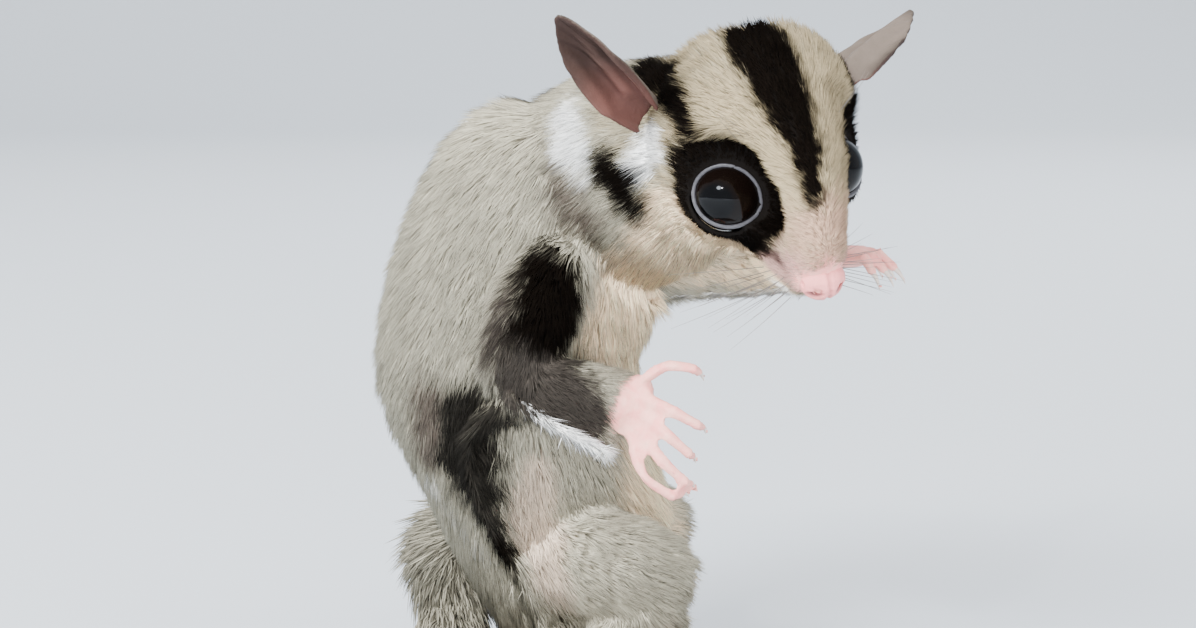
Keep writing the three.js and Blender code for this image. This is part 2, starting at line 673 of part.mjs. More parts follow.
// Everything is made in the order in which it grows, each piece cut clear of the ones before.
function build() {
  const nodes = {};
  nodes.torso = [trunk(), "coat"];
  const clearTrunk = trunk(GAP);
  const clearSkull = skull(GAP);
  const sockets = [1, -1].map((side) => eyeball(side, GAP));
  const face = union([skull(), lids(1), lids(-1), cordSolid(mouthLine(-0.7, -0.3), 0.9), cordSolid(mouthLine(0.7, -0.3), 0.9)]);
  nodes.head = [less(face, [...sockets, nosePad(GAP), cordSolid(mouthLine(0, 0.35), 0.4)]), "cream"];
  nodes.nose = [nose(), "skin"];
  nodes.eye_right = [eyeball(1), "eye"];
  nodes.eye_left = [eyeball(-1), "eye"];
  nodes.neck = [less(swept({ ...NECK }), [clearTrunk, clearSkull]), "coat"];
  const clearNeck = swept({ ...NECK, grow: GAP });
  nodes.ear_right = [less(ear("right"), [clearSkull, clearNeck]), "ear"];
  nodes.ear_left = [less(ear("left"), [clearSkull, clearNeck]), "ear"];
  for (const side of ["right", "left"]) {
    const sign = side === "right" ? 1 : -1;
    nodes[`arm_${side}`] = [less(limb(`arm_${side}`), [clearTrunk, clearNeck, clearSkull]), "dark"];
    nodes[`forearm_${side}`] = [
      less(limb(`forearm_${side}`), [clearTrunk, limb(`arm_${side}`, GAP), clearNeck, clearSkull]),
      "dark",
    ];
    const hand = side === "right" ? handRight() : handLeft();
    nodes[`hand_${side}`] = [less(hand, [limb(`forearm_${side}`, GAP), clearSkull]), "skin"];
    nodes[`thigh_${side}`] = [less(limb(`thigh_${side}`), [clearTrunk]), "coat"];
    nodes[`shin_${side}`] = [less(limb(`shin_${side}`), [clearTrunk, limb(`thigh_${side}`, GAP)]), "coat"];
    nodes[`foot_${side}`] = [
      less(foot(sign), [clearTrunk, limb(`shin_${side}`, GAP), limb(`thigh_${side}`, GAP)]),
      "skin",
    ];
    const legs = [`thigh_${side}`, `shin_${side}`, `arm_${side}`, `forearm_${side}`].map((name) => limb(name, GAP));
    nodes[`membrane_${side}`] = [less(membrane(side), [clearTrunk, clearNeck, clearSkull, ...legs]), "dark"];
    const clearMembrane = membrane(side, GAP);
    for (const part of ["hand", "foot"]) {
      nodes[`${part}_${side}`][0] = nodes[`${part}_${side}`][0].subtract(clearMembrane);
    }
  }
  for (let i = 0; i < TAIL_NODES; i++) {
    const cuts = [clearTrunk, BELOW_FLOOR];
    if (i > 0) cuts.push(tailCut(i / TAIL_NODES, -1));
    if (i < TAIL_NODES - 1) cuts.push(tailCut((i + 1) / TAIL_NODES, 1));
    nodes[`tail_${i + 1}`] = [less(tailNode(i), cuts), "coat"];
  }
  return nodes;
}

const materials = Object.fromEntries(
  Object.entries(COLOURS).map(([name, look]) => [name, new THREE.MeshStandardMaterial(look)]),
);
const group = new THREE.Group();
for (const [name, [solid, material]] of Object.entries(build())) {
  const mesh = new THREE.Mesh(geometryOf(largest(solid)), materials[material]);
  mesh.name = name;
  group.add(mesh);
}

// The origin is on the floor, under the middle of the whole animal.
const bounds = new THREE.Box3().setFromObject(group);
const middle = bounds.getCenter(new THREE.Vector3());
group.position.set(-middle.x, -middle.y, -bounds.min.z);

export default group;
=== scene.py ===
"""A young sugar glider sitting up on its haunches: skin, eyes, ears, claws, whiskers and coat."""

import math

import bmesh
import bpy
import numpy as np
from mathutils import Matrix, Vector


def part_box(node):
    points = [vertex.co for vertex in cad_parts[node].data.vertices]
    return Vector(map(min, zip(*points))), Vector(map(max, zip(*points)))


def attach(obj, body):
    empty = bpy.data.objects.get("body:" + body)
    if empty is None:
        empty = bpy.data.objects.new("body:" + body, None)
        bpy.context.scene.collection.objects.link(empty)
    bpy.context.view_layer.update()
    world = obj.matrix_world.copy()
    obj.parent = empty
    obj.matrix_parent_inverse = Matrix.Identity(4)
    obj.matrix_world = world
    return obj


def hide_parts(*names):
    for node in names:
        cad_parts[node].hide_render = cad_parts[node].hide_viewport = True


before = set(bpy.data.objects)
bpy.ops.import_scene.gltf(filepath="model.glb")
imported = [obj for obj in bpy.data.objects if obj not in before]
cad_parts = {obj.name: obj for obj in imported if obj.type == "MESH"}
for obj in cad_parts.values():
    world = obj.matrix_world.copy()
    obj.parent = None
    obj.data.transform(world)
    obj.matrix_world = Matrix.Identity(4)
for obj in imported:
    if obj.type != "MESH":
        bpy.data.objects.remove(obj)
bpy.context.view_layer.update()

bl_info = {
    "name": "Sugar glider",
    "version": (1, 0, 0),
    "blender": (4, 5, 0),
    "location": "View3D > Sidebar > Glider",
    "description": "Dresses the sugar glider's solids with skin, eyes, ears, claws, whiskers and coat",
    "category": "Object",
}

MM = 0.001

# The pose, in millimetres in the frame in which the solids were laid out.
HEAD_AT = np.array([22.7, -20.0, 71.2])
HEAD_YAW, HEAD_PITCH, HEAD_ROLL = 27, 27, 14
EYE_RADIUS = 4.5
EYE_APART = 14.0
GAZE_OUT, GAZE_UP = 47, 22
NOSE_AT = (13.0, 0.0, -6.6)


def unit(v):
    """A vector, or each row of an array, at length 1."""
    v = np.asarray(v, float)
    return v / np.maximum(np.linalg.norm(v, axis=-1, keepdims=True), 1e-9)


def head_axes():
    """Forward, right and up of the head."""
    yaw, pitch, roll = (math.radians(a) for a in (HEAD_YAW, HEAD_PITCH, HEAD_ROLL))
    level = np.array([math.sin(yaw), -math.cos(yaw), 0])
    side = np.array([-math.cos(yaw), -math.sin(yaw), 0])
    up = np.array([0, 0, 1.0])
    forward = level * math.cos(pitch) - up * math.sin(pitch)
    crown = up * math.cos(pitch) + level * math.sin(pitch)
    right = side * math.cos(roll) - crown * math.sin(roll)
    top = crown * math.cos(roll) + side * math.sin(roll)
    return np.array([forward, right, top])


HEAD = head_axes()


def in_head(point):
    """A point given as forward, right and up of the eyes, in the layout."""
    return HEAD_AT + np.asarray(point, float) @ HEAD


def to_head(points):
    """Points of the layout as forward, right and up of the eyes."""
    return (points - HEAD_AT) @ HEAD.T


def eye_centre(side):
    """Middle of an eyeball in the layout; side is 1 on the right and -1 on the left."""
    return in_head((0, side * EYE_APART / 2, 0))


def gaze(side):
    """The way an eye looks."""
    out, up = math.radians(GAZE_OUT), math.radians(GAZE_UP)
    return np.array([math.cos(out) * math.cos(up), side * math.sin(out) * math.cos(up), math.sin(up)]) @ HEAD


def layout_shift():
    """How far the solids were moved to stand over their origin, from where the right eye is."""
    low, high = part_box("eye_right")
    return (np.array(low) + np.array(high)) / 2 / MM - eye_centre(1)


SHIFT = layout_shift()


def to_frame(points):
    """Layout millimetres to metres in the frame."""
    return (np.asarray(points, float) + SHIFT) * MM


def to_layout(points):
    """Metres in the frame to layout millimetres."""
    return np.asarray(points, float) / MM - SHIFT


def bones():
    """What the body is built on: name, start, end, thickness, coat depth, hair length, nakedness."""
    head = [
        ("face", (15, 0, -7), (10, 0, -6), 3.4, 0.05, 0.5, 0.9),
        ("face", (10, 0, -5), (4, 0, -2), 7, 0.3, 1.0, 0),
        ("face", (4, 0, -1), (-4, 0, 3), 12, 0.55, 1.7, 0),
        ("crown", (-4, 0, 3), (-16, 0, 4), 14, 0.9, 2.1, 0),
    ]
    rows = [(n, in_head(a), in_head(b), *rest) for n, a, b, *rest in head]
    neck = [(15, -11, 75), (9, -6.5, 73.5), (1, -2.5, 69), (-5.5, -0.5, 62)]
    rows += [("neck", a, b, 13, 1.3, 3.6, 0) for a, b in zip(neck, neck[1:])]
    trunk = [(-5.5, -0.5, 65), (-10.5, 0, 55), (-11.5, 0, 44), (-9.5, 0, 32), (-5, 0, 20), (-1, 0, 8)]
    rows += [("trunk", a, b, 17, 1.5, 4.0, 0) for a, b in zip(trunk, trunk[1:])]
    limbs = {
        "arm": ([(-5, -9.5, 59.5), (-8.5, -15.5, 53), (-10.5, -17.8, 46.5)], 6, 1.2, 3.0, 0),
        "forearm": ([(-10.2, -17.8, 46.2), (-5, -20, 44.9), (1, -21.1, 43.6)], 4.4, 0.8, 2.2, 0),
        "hand": ([(2.2, -21.6, 43.2), (5.9, -22.8, 42.6), (10, -25, 40)], 4, 0, 0.5, 1),
        "arm_far": ([(-1, 9, 60), (7, 12.5, 58), (13.5, 13.2, 57.4)], 5.5, 1.1, 2.8, 0),
        "forearm_far": ([(13.5, 13.2, 57.4), (21, 11.8, 57.6), (28, 9.4, 58)], 4, 0.7, 2.0, 0),
        "hand_far": ([(30.5, 8.8, 58), (35.5, 7.6, 58.3), (41, 6.4, 57.6)], 4, 0, 0.5, 1),
    }
    hind = {
        "thigh": ([(-7, 8, 21), (0, 14.8, 21.5), (8, 16.5, 19.5)], 7.5, 1.3, 3.4, 0),
        "shin": ([(7.6, 16.6, 17.5), (1.5, 16.8, 10.5), (-3, 15.6, 6)], 4.6, 0.7, 2.0, 0),
        "foot": ([(-6, 15, 2.6), (8, 16.5, 2.2), (16, 18, 1)], 3.6, 0, 0.5, 1),
    }
    for side in (-1, 1):
        for name, (points, *rest) in hind.items():
            limbs[f"{name}{side}"] = ([(x, side * y, z) for x, y, z in points], *rest)
    for name, (points, radius, depth, length, bare) in limbs.items():
        rows += [(name, a, b, radius, depth, length, bare) for a, b in zip(points, points[1:])]
    for owner, root, joint, tip in digits():
        rows += [(owner, root, joint, 1.6, 0, 0.4, 1), (owner, joint, tip, 1.6, 0, 0.4, 1)]
    return rows


# Fingers of the near hand: root ahead and up, angle in degrees, length and how far each bows.
RIGHT_FINGERS = [
    (5.6, 46.4, 9, 7.2, 2), (5.6, 44.2, -26, 8.4, 0.5), (5.5, 42.2, -40, 8.4, 0.3), (5, 40.4, -47, 9.8, -0.4),
    (4.1, 39, -48, 9.6, -2),
]


def digits():
    """Root, last joint and tip of every finger and toe, as the solids have them."""
    found = []
    for x, z, angle, length, bow in RIGHT_FINGERS:
        c, s = math.cos(math.radians(angle)), math.sin(math.radians(angle))

        def at(share, side, depth):
            return np.array([x + c * length * share - s * side, depth, z + s * length * share + c * side])

        found.append(("hand", at(0.2, bow * 0.4, -25.5), at(0.92, bow * 0.4, -26.2), at(1, 0, -24.4)))
    for place in range(-2, 3):
        turn = math.radians(-14 + place * 17)
        ahead = np.array([math.cos(turn), math.sin(turn), 0])
        root = np.array([35.5 - 0.6 * abs(place), 7.6 + place * 1.5, 58.2])
        reach = 4.6 - 0.5 * abs(place)
        tip = root + ahead * reach + (0, 0, -1.3)
        found.append(("hand_far", root, root + ahead * reach * 0.55 + (0, 0, 0.55), tip))
    for side in (1, -1):
        for across in (-1.5, -0.5, 0.5, 1.5):
            turn = math.radians(6 + across * 9)
            ahead = np.array([math.cos(turn), -side * math.sin(turn), 0])
            root = np.array([8.6, -side * (16.5 + across * 1.9), 1.2])
            reach = 6.6 - 0.6 * abs(across)
            tip = root + ahead * reach + (0, 0, -0.4)
            found.append((f"foot{-side}", root, root + ahead * reach * 0.55 + (0, 0, 0.5), tip))
    return found


BONES = bones()
GROUPS = sorted({row[0] for row in BONES})


def nearness(points):
    """How strongly each bone holds each point, and how far along it the point lies."""
    weights = np.empty((len(points), len(BONES)))
    for i, (_, a, b, radius, *_) in enumerate(BONES):
        a, b = np.asarray(a, float), np.asarray(b, float)
        along = b - a
        t = np.clip((points - a) @ along / (along @ along), 0, 1)
        gap = np.linalg.norm(points - (a + t[:, None] * along), axis=1) / radius
        weights[:, i] = 1 / np.maximum(gap, 0.05) ** 7
    return weights / weights.sum(1, keepdims=True)


def eye_gap(points):
    """Distance from the middle of the nearer eyeball."""
    return np.minimum(*(np.linalg.norm(points - eye_centre(side), axis=1) for side in (1, -1)))


def body_facts(points):
    """Blended at each point: the lie of the hair, coat depth, hair length, nakedness and group."""
    w = nearness(points)
    lie = w @ np.array([unit(np.asarray(b, float) - np.asarray(a, float)) for _, a, b, *_ in BONES])
    table = np.array([row[4:] for row in BONES])
    depth, length, bare = (w @ table).T
    owner = np.array([GROUPS.index(row[0]) for row in BONES])[w.argmax(1)]
    near_eye = eye_gap(points)
    lids = smooth(near_eye, 5.0, 8.0)
    for side in (1, -1):
        off = points - eye_centre(side)
        hold = (1 - smooth(np.linalg.norm(off, axis=1), 6.0, 10.5))[:, None]
        lie = lie * (1 - hold * 0.7) + unit(off - gaze(side) * (off @ gaze(side))[:, None]) * hold * 1.3
    longest = 0.7 + 0.42 * np.maximum(near_eye - 4.8, 0)
    return unit(lie), depth * lids, np.minimum(length, longest), bare, owner


def smooth(x, low, high):
    """0 below low, 1 above high, and a soft step between them."""
    t = np.clip((x - low) / (high - low), 0, 1)
    return t * t * (3 - 2 * t)


def ripple(points, scale, seed):
    """A soft random value from -1 to 1 that changes over about that many millimetres."""
    random = np.random.default_rng(seed)
    total = np.zeros(len(points))
    for octave in range(4):
        turn = unit(random.normal(size=(3, 3)))
        phase = random.uniform(0, 2 * math.pi, 3)
        q = points @ turn.T * (2 * math.pi / scale) * (1.0 + 0.55 * octave)
        total += np.sin(q[:, 0] + phase[0] + 1.3 * np.sin(q[:, 1] + phase[1])) * np.cos(q[:, 2] + phase[2])
    return total / 2.2


# Colours of the coat and skin, as light values.
COAT = np.array([0.42, 0.39, 0.30])
BUFF = np.array([0.39, 0.315, 0.19])
CREAM = np.array([0.96, 0.73, 0.49])
WHITE = np.array([0.98, 0.98, 0.95])
DARK = np.array([0.004, 0.0028, 0.002])
GREY = np.array([0.16, 0.145, 0.13])
PINK = np.array([0.82, 0.30, 0.28])
PALE_PINK = np.array([0.84, 0.46, 0.385])
FLECK = np.array([0.05, 0.03, 0.028])
SOOT = np.array([0.055, 0.047, 0.040])
NECK_GREY = np.array([0.13, 0.105, 0.085])
BELLY = np.array([0.66, 0.53, 0.41])
BRIDGE = np.array([0.50, 0.33, 0.24])
MUZZLE = np.array([0.50, 0.30, 0.27])
ARM_GREY = np.array([0.06, 0.05, 0.042])
FLANK = np.array([0.02, 0.018, 0.015])
# Painted shade of the mouth's slit, drawn as a dark line where the lips meet.
MOUTH_SHADE = np.array([0.10, 0.035, 0.03])

# Markings on the head: colour, places as forward, right and up of the eyes with a half width at
# each, how soft the edge is, and whether the left side has the same. These are laid first.
HEAD_GROUND = [
    (BUFF, [(4, 0, 6, 15), (-8, 0, 8, 14)], 7, False),
    (CREAM, [(2, 6.5, -9, 4.5), (-3, 9.5, -8, 6.5), (-4, 12.5, -4.5, 3.4)], 2, True),
    (CREAM, [(5, 0, -12, 6), (-6, 0, -14, 10)], 2, False),
    (WHITE, [(12, 0, -12.5, 2.2), (7, 0, -13.5, 3)], 1.5, False),
    (BRIDGE, [(13.4, 0, 1.5, 3.2), (12.6, 0, -1.5, 3.6)], 3, False),
    (MUZZLE, [(11.5, 2.5, -5.5, 2.6), (8.4, 4.4, -7, 2.2)], 2.4, True),
]
HEAD_MARKS = [
    (
        # A dark line where the lips meet: painted shade of the mouth's slit.
        MOUTH_SHADE,
        [(1.7, 6.0, -10.8, 0.12), (4.6, 4.2, -12.0, 0.25), (8.2, 2.6, -12.7, 0.3), (11.4, 0, -12.3, 0.3)],
        0.45, True,
    ),
    (WHITE, [(-7.8, 13.9, 4.6, 3.1), (-8.4, 14.8, 1.8, 2.2)], 1.0, True),
    (
        DARK,
        [(-12.2, 17.0, 1.8, 2.2), (-9.3, 16.3, -0.3, 2.7), (-7.0, 15.3, -3.3, 1.8), (-5.6, 14.2, -6.0, 0.5)],
        1.2, True,
    ),
    (DARK, [(-9, -8.2, 16, 1.6), (-10.5, -11, 12.5, 2.8)], 1.4, False),
    (GREY, [(-6.3, 14.4, -6, 0.7), (-5.0, 12.6, -9.5, 0.4)], 1.2, True),
    (
        DARK,
        [
            (-21, 8, 8, 2.2), (-14.5, 9.4, 10, 3.0), (-9.5, 10.8, 12, 2.7), (-4.5, 11.4, 12, 2.2),
            (-1.5, 11.3, 10, 1.9),
        ],
        1.2, True,
    ),
    (DARK, [(7.4, 6.1, 0, 1.5), (6.0, 6.2, -2.6, 1.6), (4.9, 5.7, -5.4, 1.1)], 1.2, True),
    (FLECK, [(8, 5, -3.4, 1.1), (9.6, 4.4, -5.0, 0.6)], 1.6, True),
    (FLECK, [(6.2, 5.6, -6.2, 0.22), (9.6, 4.4, -7.2, 0.14)], 0.5, True),
    (FLECK, [(5.8, 5.5, -7.4, 0.22), (9.3, 4.2, -8.5, 0.14)], 0.5, True),
    (FLECK, [(5.6, 5.3, -8.6, 0.2), (8.6, 4.0, -9.7, 0.12)], 0.5, True),
]
# How far the dark round the eye reaches from its centre: everywhere, above it and in front of it.
EYE_RING = (6.0, 2.8, 3.2)
# The stripe down the middle of the head, from the bridge of the nose to the nape.
MID_STRIPE = [
    (13.4, 1.1, 5.0, 0.6), (12, 1.1, 8.7, 1.2), (9.8, 0.9, 12, 2.1), (6.8, 1.0, 14.6, 2.8),
    (3.5, 1.2, 16.6, 3.4), (-2.5, 1.4, 19.6, 3.7), (-9, 1.2, 22, 3.2), (-14, 0.8, 21.5, 2.9),
    (-18.5, 0.4, 17.5, 2.8), (-21, 0, 11, 2.6),
]
# Markings on the body: colour, places in the layout with a half width at each, and how soft the
# edge is. These are laid before the head's.
BODY_GROUND = [
    (CREAM, [(12, -10, 62, 7), (4, -6, 54, 8), (6, 0, 44, 9), (8, 0, 30, 12), (8, 0, 14, 10)], 4),
    (CREAM, [(18, -8, 66, 7), (14, -14, 64, 5), (12, 4, 56, 5), (24, 6, 54, 4)], 4),
]
BODY_MARKS = [
    (BELLY, [(-8.5, -17.5, 34.5, 2.6), (-9.5, -17.5, 29, 3.0), (-6, -17, 20, 2)], 2.0),
    (NECK_GREY, [(-4.6, -13.5, 73, 1.8), (-2.4, -14.4, 69, 2.4), (0, -15, 66, 1.6)], 3),
    (WHITE, [(-2.4, -10.5, 80.5, 2.0), (-2.2, -13, 77.5, 2.6), (-1.2, -15.4, 74.2, 1.9)], 1.4),
    (ARM_GREY, [(-10.8, -18.5, 59.5, 2.6), (-12.8, -20, 52, 3.2)], 4),
    (DARK, [(-3.4, -16.4, 63.6, 2.0), (-4.8, -18.5, 59, 3.4)], 2.0),
    (
        DARK,
        [(-6.8, -15.6, 63.8, 2.6), (-5.8, -18, 59.5, 4.2), (-5, -20, 55.5, 5.0), (-7.6, -22.5, 50, 4.6)],
        2.4,
    ),
    (SOOT, [(-9.5, -23, 47.4, 4.4), (-5.5, -24, 44.5, 4.0), (-2.6, -24, 42, 3.4)], 2.2),
    (DARK, [(-2, 14, 62, 4), (7, 16, 60, 4), (14, 16, 60, 3)], 2.4),
    (NECK_GREY, [(-22, -13, 44, 2.6), (-22.6, -12.4, 38, 2.6)], 3),
    (FLANK, [(-12.4, -19, 41, 2.6), (-13.5, -18.4, 37, 2.4)], 1.6),
    (
        FLANK,
        [
            (-17.0, -15.5, 43, 3.8), (-17.8, -15.8, 37, 4.6), (-15.6, -18.2, 31.5, 3.4),
            (-13.8, -18.6, 24.5, 1.9),
        ],
        2.2,
    ),
    (DARK, [(-13.8, -18.6, 24.5, 1.8), (-11, -18.8, 17, 1.4), (-9, -18.6, 10, 1.4)], 1.8),
    (DARK, [(-12, 18, 44, 3.0), (-14, 18.4, 35, 3.8), (-12, 18.4, 22, 2.2)], 2.2),
    (WHITE, [(-12.8, -23.4, 44.2, 0.9), (-5.6, -24.8, 39.6, 1.3), (1.4, -24.6, 36.2, 1.1)], 0.4),
    (
        WHITE,
        [
            (-23.6, -9.5, 33, 0.9), (-20, -12.6, 27.5, 1.3), (-15.7, -15.2, 22.9, 1.3),
            (-11.6, -17.4, 14.6, 0.9),
        ],
        1.0,
    ),
    (WHITE, [(28, 8.6, 53.6, 1.0), (19, 12, 52, 1.2), (9, 15, 51, 1.0)], 0.8),
]
# The dark line along the back, from the nape to the root of the tail.
BACK_LINE = [
    (15, -14.2, 91.8, 2.2), (14.4, -9.1, 88.9, 2.2), (9.5, -5.5, 86.5, 2.1), (4, -2, 83.5, 2.0),
    (-6, 1, 81.5, 2.0), (-16.5, 3, 75.5, 1.9), (-24.5, 3.6, 66, 1.9), (-28.6, 4, 55, 1.8),
    (-29.6, 4, 44, 1.7), (-26, 3.6, 32, 1.5), (-18.5, 2.6, 21, 1.2),
]


def mark_strength(points, places, soft, wave):
    """1 inside a band laid along the places, falling to 0 over the soft edge."""
    best = np.full(len(points), 1e9)
    for a, b in zip(places, places[1:]):
        a, b = np.array(a, float), np.array(b, float)
        along = b[:3] - a[:3]
        t = np.clip((points - a[:3]) @ along / (along @ along), 0, 1)
        gap = np.linalg.norm(points - (a[:3] + t[:, None] * along), axis=1)
        best = np.minimum(best, gap - (a[3] + (b[3] - a[3]) * t))
    return 1 - smooth(best + wave * soft * 0.45, -soft * 0.5, soft * 0.9)


def markings(points):
    """The colour of the coat at each point of the layout."""
    wave = ripple(points, 3.1, 5)
    colour = np.repeat(COAT[None], len(points), 0)
    colour *= (1 + 0.10 * ripple(points, 9, 2) + 0.07 * ripple(points, 2.2, 3))[:, None]
    head = to_head(points)
    mirrored = head * (1, -1, 1)

    def lay(mark, strength):
        nonlocal colour
        colour = colour * (1 - strength[:, None]) + np.asarray(mark) * strength[:, None]

    for mark, places, soft in BODY_GROUND:
        lay(mark, mark_strength(points, places, soft, wave))
    for mark, places, soft, both in HEAD_GROUND:
        for q in (head, mirrored) if both else (head,):
            lay(mark, mark_strength(q, places, soft, wave) * 0.9)
    for mark, places, soft in BODY_MARKS:
        lay(mark, mark_strength(points, places, soft, wave))
    for mark, places, soft, both in HEAD_MARKS:
        for q in (head, mirrored) if both else (head,):
            lay(mark, mark_strength(q, places, soft, wave))
    for q in (head, mirrored):
        off = q - (0, EYE_APART / 2, 0)
        far = np.linalg.norm(off, axis=1)
        ahead, above = (off[:, [0, 2]] / np.maximum(far, 1e-6)[:, None]).T
        reach = EYE_RING[0] + (q is mirrored) * 0.8 + EYE_RING[1] * smooth(above, 0.1, 0.85)
        reach = reach + EYE_RING[2] * smooth(ahead, 0.1, 0.8)
        lay(DARK, 1 - smooth(far + wave * 0.5, reach, reach + 1.3))
    lay(DARK, mark_strength(head, MID_STRIPE, 1.0, wave))
    lay(DARK, mark_strength(points, BACK_LINE, 1.8, wave) * 0.9)
    return colour


# The tail's line, in the layout.
TAIL = [
    (-8, 2, 20), (-15.5, 4, 22.6), (-20.6, 4.6, 19.5), (-20.2, 4, 11.5), (-19.4, -4, 5.6), (-16, -17.5, 5.2),
    (-8, -29, 5.2), (5, -34.5, 5.2), (18, -35, 4.9), (30, -31, 4.4), (38, -24.5, 3.2),
]
TAIL_RADIUS = 5.6
TAIL_STEPS = 90
TAIL_HAIR = 8.0
FLOOR_CLEAR = 0.05


def curve_through(points, count):
    """A smooth centripetal curve through the points, with count places evenly along it."""
    p = np.asarray(points, float)
    p = np.vstack([2 * p[0] - p[1], p, 2 * p[-1] - p[-2]])
    out = []
    for i in range(1, len(p) - 2):
        near = p[i - 1 : i + 3]
        k = np.concatenate([[0], np.cumsum(np.linalg.norm(np.diff(near, axis=0), axis=1) ** 0.5)])
        for t in np.linspace(k[1], k[2], 24, endpoint=i == len(p) - 3):
            a = [((k[j + 1] - t) * near[j] + (t - k[j]) * near[j + 1]) / (k[j + 1] - k[j]) for j in range(3)]
            b = [((k[j + 2] - t) * a[j] + (t - k[j]) * a[j + 1]) / (k[j + 2] - k[j]) for j in range(2)]
            out.append(((k[2] - t) * b[0] + (t - k[1]) * b[1]) / (k[2] - k[1]))
    out = np.array(out)
    run = np.concatenate([[0], np.cumsum(np.linalg.norm(np.diff(out, axis=0), axis=1))])
    want = np.linspace(0, run[-1], count)
    return np.stack([np.interp(want, run, out[:, c]) for c in range(3)], 1)


def tail_radius(s):
    """The tail's thickness out to its hair, at a share of its length."""
    s = np.asarray(s, float)
    return TAIL_RADIUS * (0.86 + 0.16 * np.sin(math.pi * s)) * np.where(s > 0.8, 1 - (s - 0.8) * 2.2, 1)


def frames_along(points):
    """Tangents and two cross directions that don't twist along a line of points."""
    tangent = unit(np.gradient(points, axis=0))
    side = unit(np.cross(tangent[0], (0.3, 0.2, 1)))
    sides = []
    for t in tangent:
        side = unit(side - t * (side @ t))
        sides.append(side)
    sides = np.array(sides)
    return tangent, sides, np.cross(tangent, sides)


# Meshes.
def mesh_from(name, points, faces, layout=True):
    """A new object from layout points; faces is an array with the same number of corners each."""
    mesh = bpy.data.meshes.new(name)
    points = to_frame(points) if layout else np.asarray(points, float)
    faces = np.asarray(faces, np.int32)
    mesh.vertices.add(len(points))
    mesh.vertices.foreach_set("co", points.astype(np.float32).ravel())
    mesh.loops.add(faces.size)
    mesh.loops.foreach_set("vertex_index", faces.ravel())
    mesh.polygons.add(len(faces))
    mesh.polygons.foreach_set("loop_start", np.arange(0, faces.size, faces.shape[1], dtype=np.int32))
    mesh.update(calc_edges=True)
    mesh.validate()
    return placed(name, mesh)


def placed(name, data):
    """A new object in the scene, at the origin."""
    made = bpy.data.objects.new(name, data)
    bpy.context.scene.collection.objects.link(made)
    return made


def mesh_of(name, work):
    """A mesh taken over from a bmesh, which is used up."""
    mesh = bpy.data.meshes.new(name)
    work.to_mesh(mesh)
    work.free()
    return mesh


def shade_smooth(made):
    """Smooth shading on every face."""
    made.data.polygons.foreach_set("use_smooth", np.ones(len(made.data.polygons), bool))


def finished(made, look):
    """The piece itself, smooth and in its material."""
    shade_smooth(made)
    made.data.materials.append(look)
    return made


def colour_points(made, name, colours):
    """A colour for each vertex of a mesh."""
    layer = made.data.color_attributes.new(name, "FLOAT_COLOR", "POINT")
    rgba = np.ones((len(colours), 4), np.float32)
    rgba[:, :3] = colours
    layer.data.foreach_set("color", rgba.ravel())


def value_points(made, name, values):
    """A number for each vertex of a mesh."""
    layer = made.data.attributes.new(name, "FLOAT", "POINT")
    layer.data.foreach_set("value", np.asarray(values, np.float32))


def points_of(mesh):
    """Vertices of a mesh in the layout."""
    found = np.empty(len(mesh.vertices) * 3, np.float32)
    mesh.vertices.foreach_get("co", found)
    return to_layout(found.reshape(-1, 3))


def normals_of(mesh):
    """The way out of the skin at each vertex."""
    found = np.empty(len(mesh.vertices) * 3, np.float32)
    mesh.vertex_normals.foreach_get("vector", found)
    return found.reshape(-1, 3).astype(float)


def set_points(mesh, points):
    """Moves a mesh's vertices to layout points."""
    mesh.vertices.foreach_set("co", to_frame(points).astype(np.float32).ravel())
    mesh.update()


def relax(mesh, rounds, strength):
    """Evens a mesh out without shrinking it much; strength is one number or one a vertex."""
    edges = np.empty(len(mesh.edges) * 2, np.int32)
    mesh.edges.foreach_get("vertices", edges)
    a, b = edges.reshape(-1, 2).T
    points = points_of(mesh)
    count = np.bincount(a, minlength=len(points)) + np.bincount(b, minlength=len(points))
    strength = np.broadcast_to(strength, (len(points),))[:, None]
    for i in range(rounds):
        total = np.stack(
            [
                np.bincount(a, points[b, c], len(points)) + np.bincount(b, points[a, c], len(points))
                for c in range(3)
            ],
            1,
        )
        pull = total / np.maximum(count, 1)[:, None] - points
        points = points + pull * strength * (0.6 if i % 2 == 0 else -0.52)
    set_points(mesh, points)


def remeshed(name, sources, voxel):
    """One closed skin over several objects, which are used up."""
    whole = bmesh.new()
    for source in sources:
        whole.from_mesh(source.data)
        bpy.data.objects.remove(source)
    made = placed(name, mesh_of(name, whole))
    change = made.modifiers.new("Remesh", "REMESH")
    change.mode = "VOXEL"
    change.voxel_size = voxel * MM
    evaluated = made.evaluated_get(bpy.context.evaluated_depsgraph_get())
    plain = bpy.data.meshes.new_from_object(evaluated)
    made.modifiers.clear()
    made.data = plain
    plain.name = name
    return made


def copy_of_node(node, grow):
    """A merged copy of a solid's mesh, pushed out a little so that neighbours join."""
    work = bmesh.new()
    work.from_mesh(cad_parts[node].data)
    bmesh.ops.remove_doubles(work, verts=work.verts, dist=0.00001)
    bmesh.ops.recalc_face_normals(work, faces=work.faces)
    work.normal_update()
    for vert in work.verts:
        vert.co += vert.normal * grow * MM
    return placed(node + "_copy", mesh_of(node + "_copy", work))


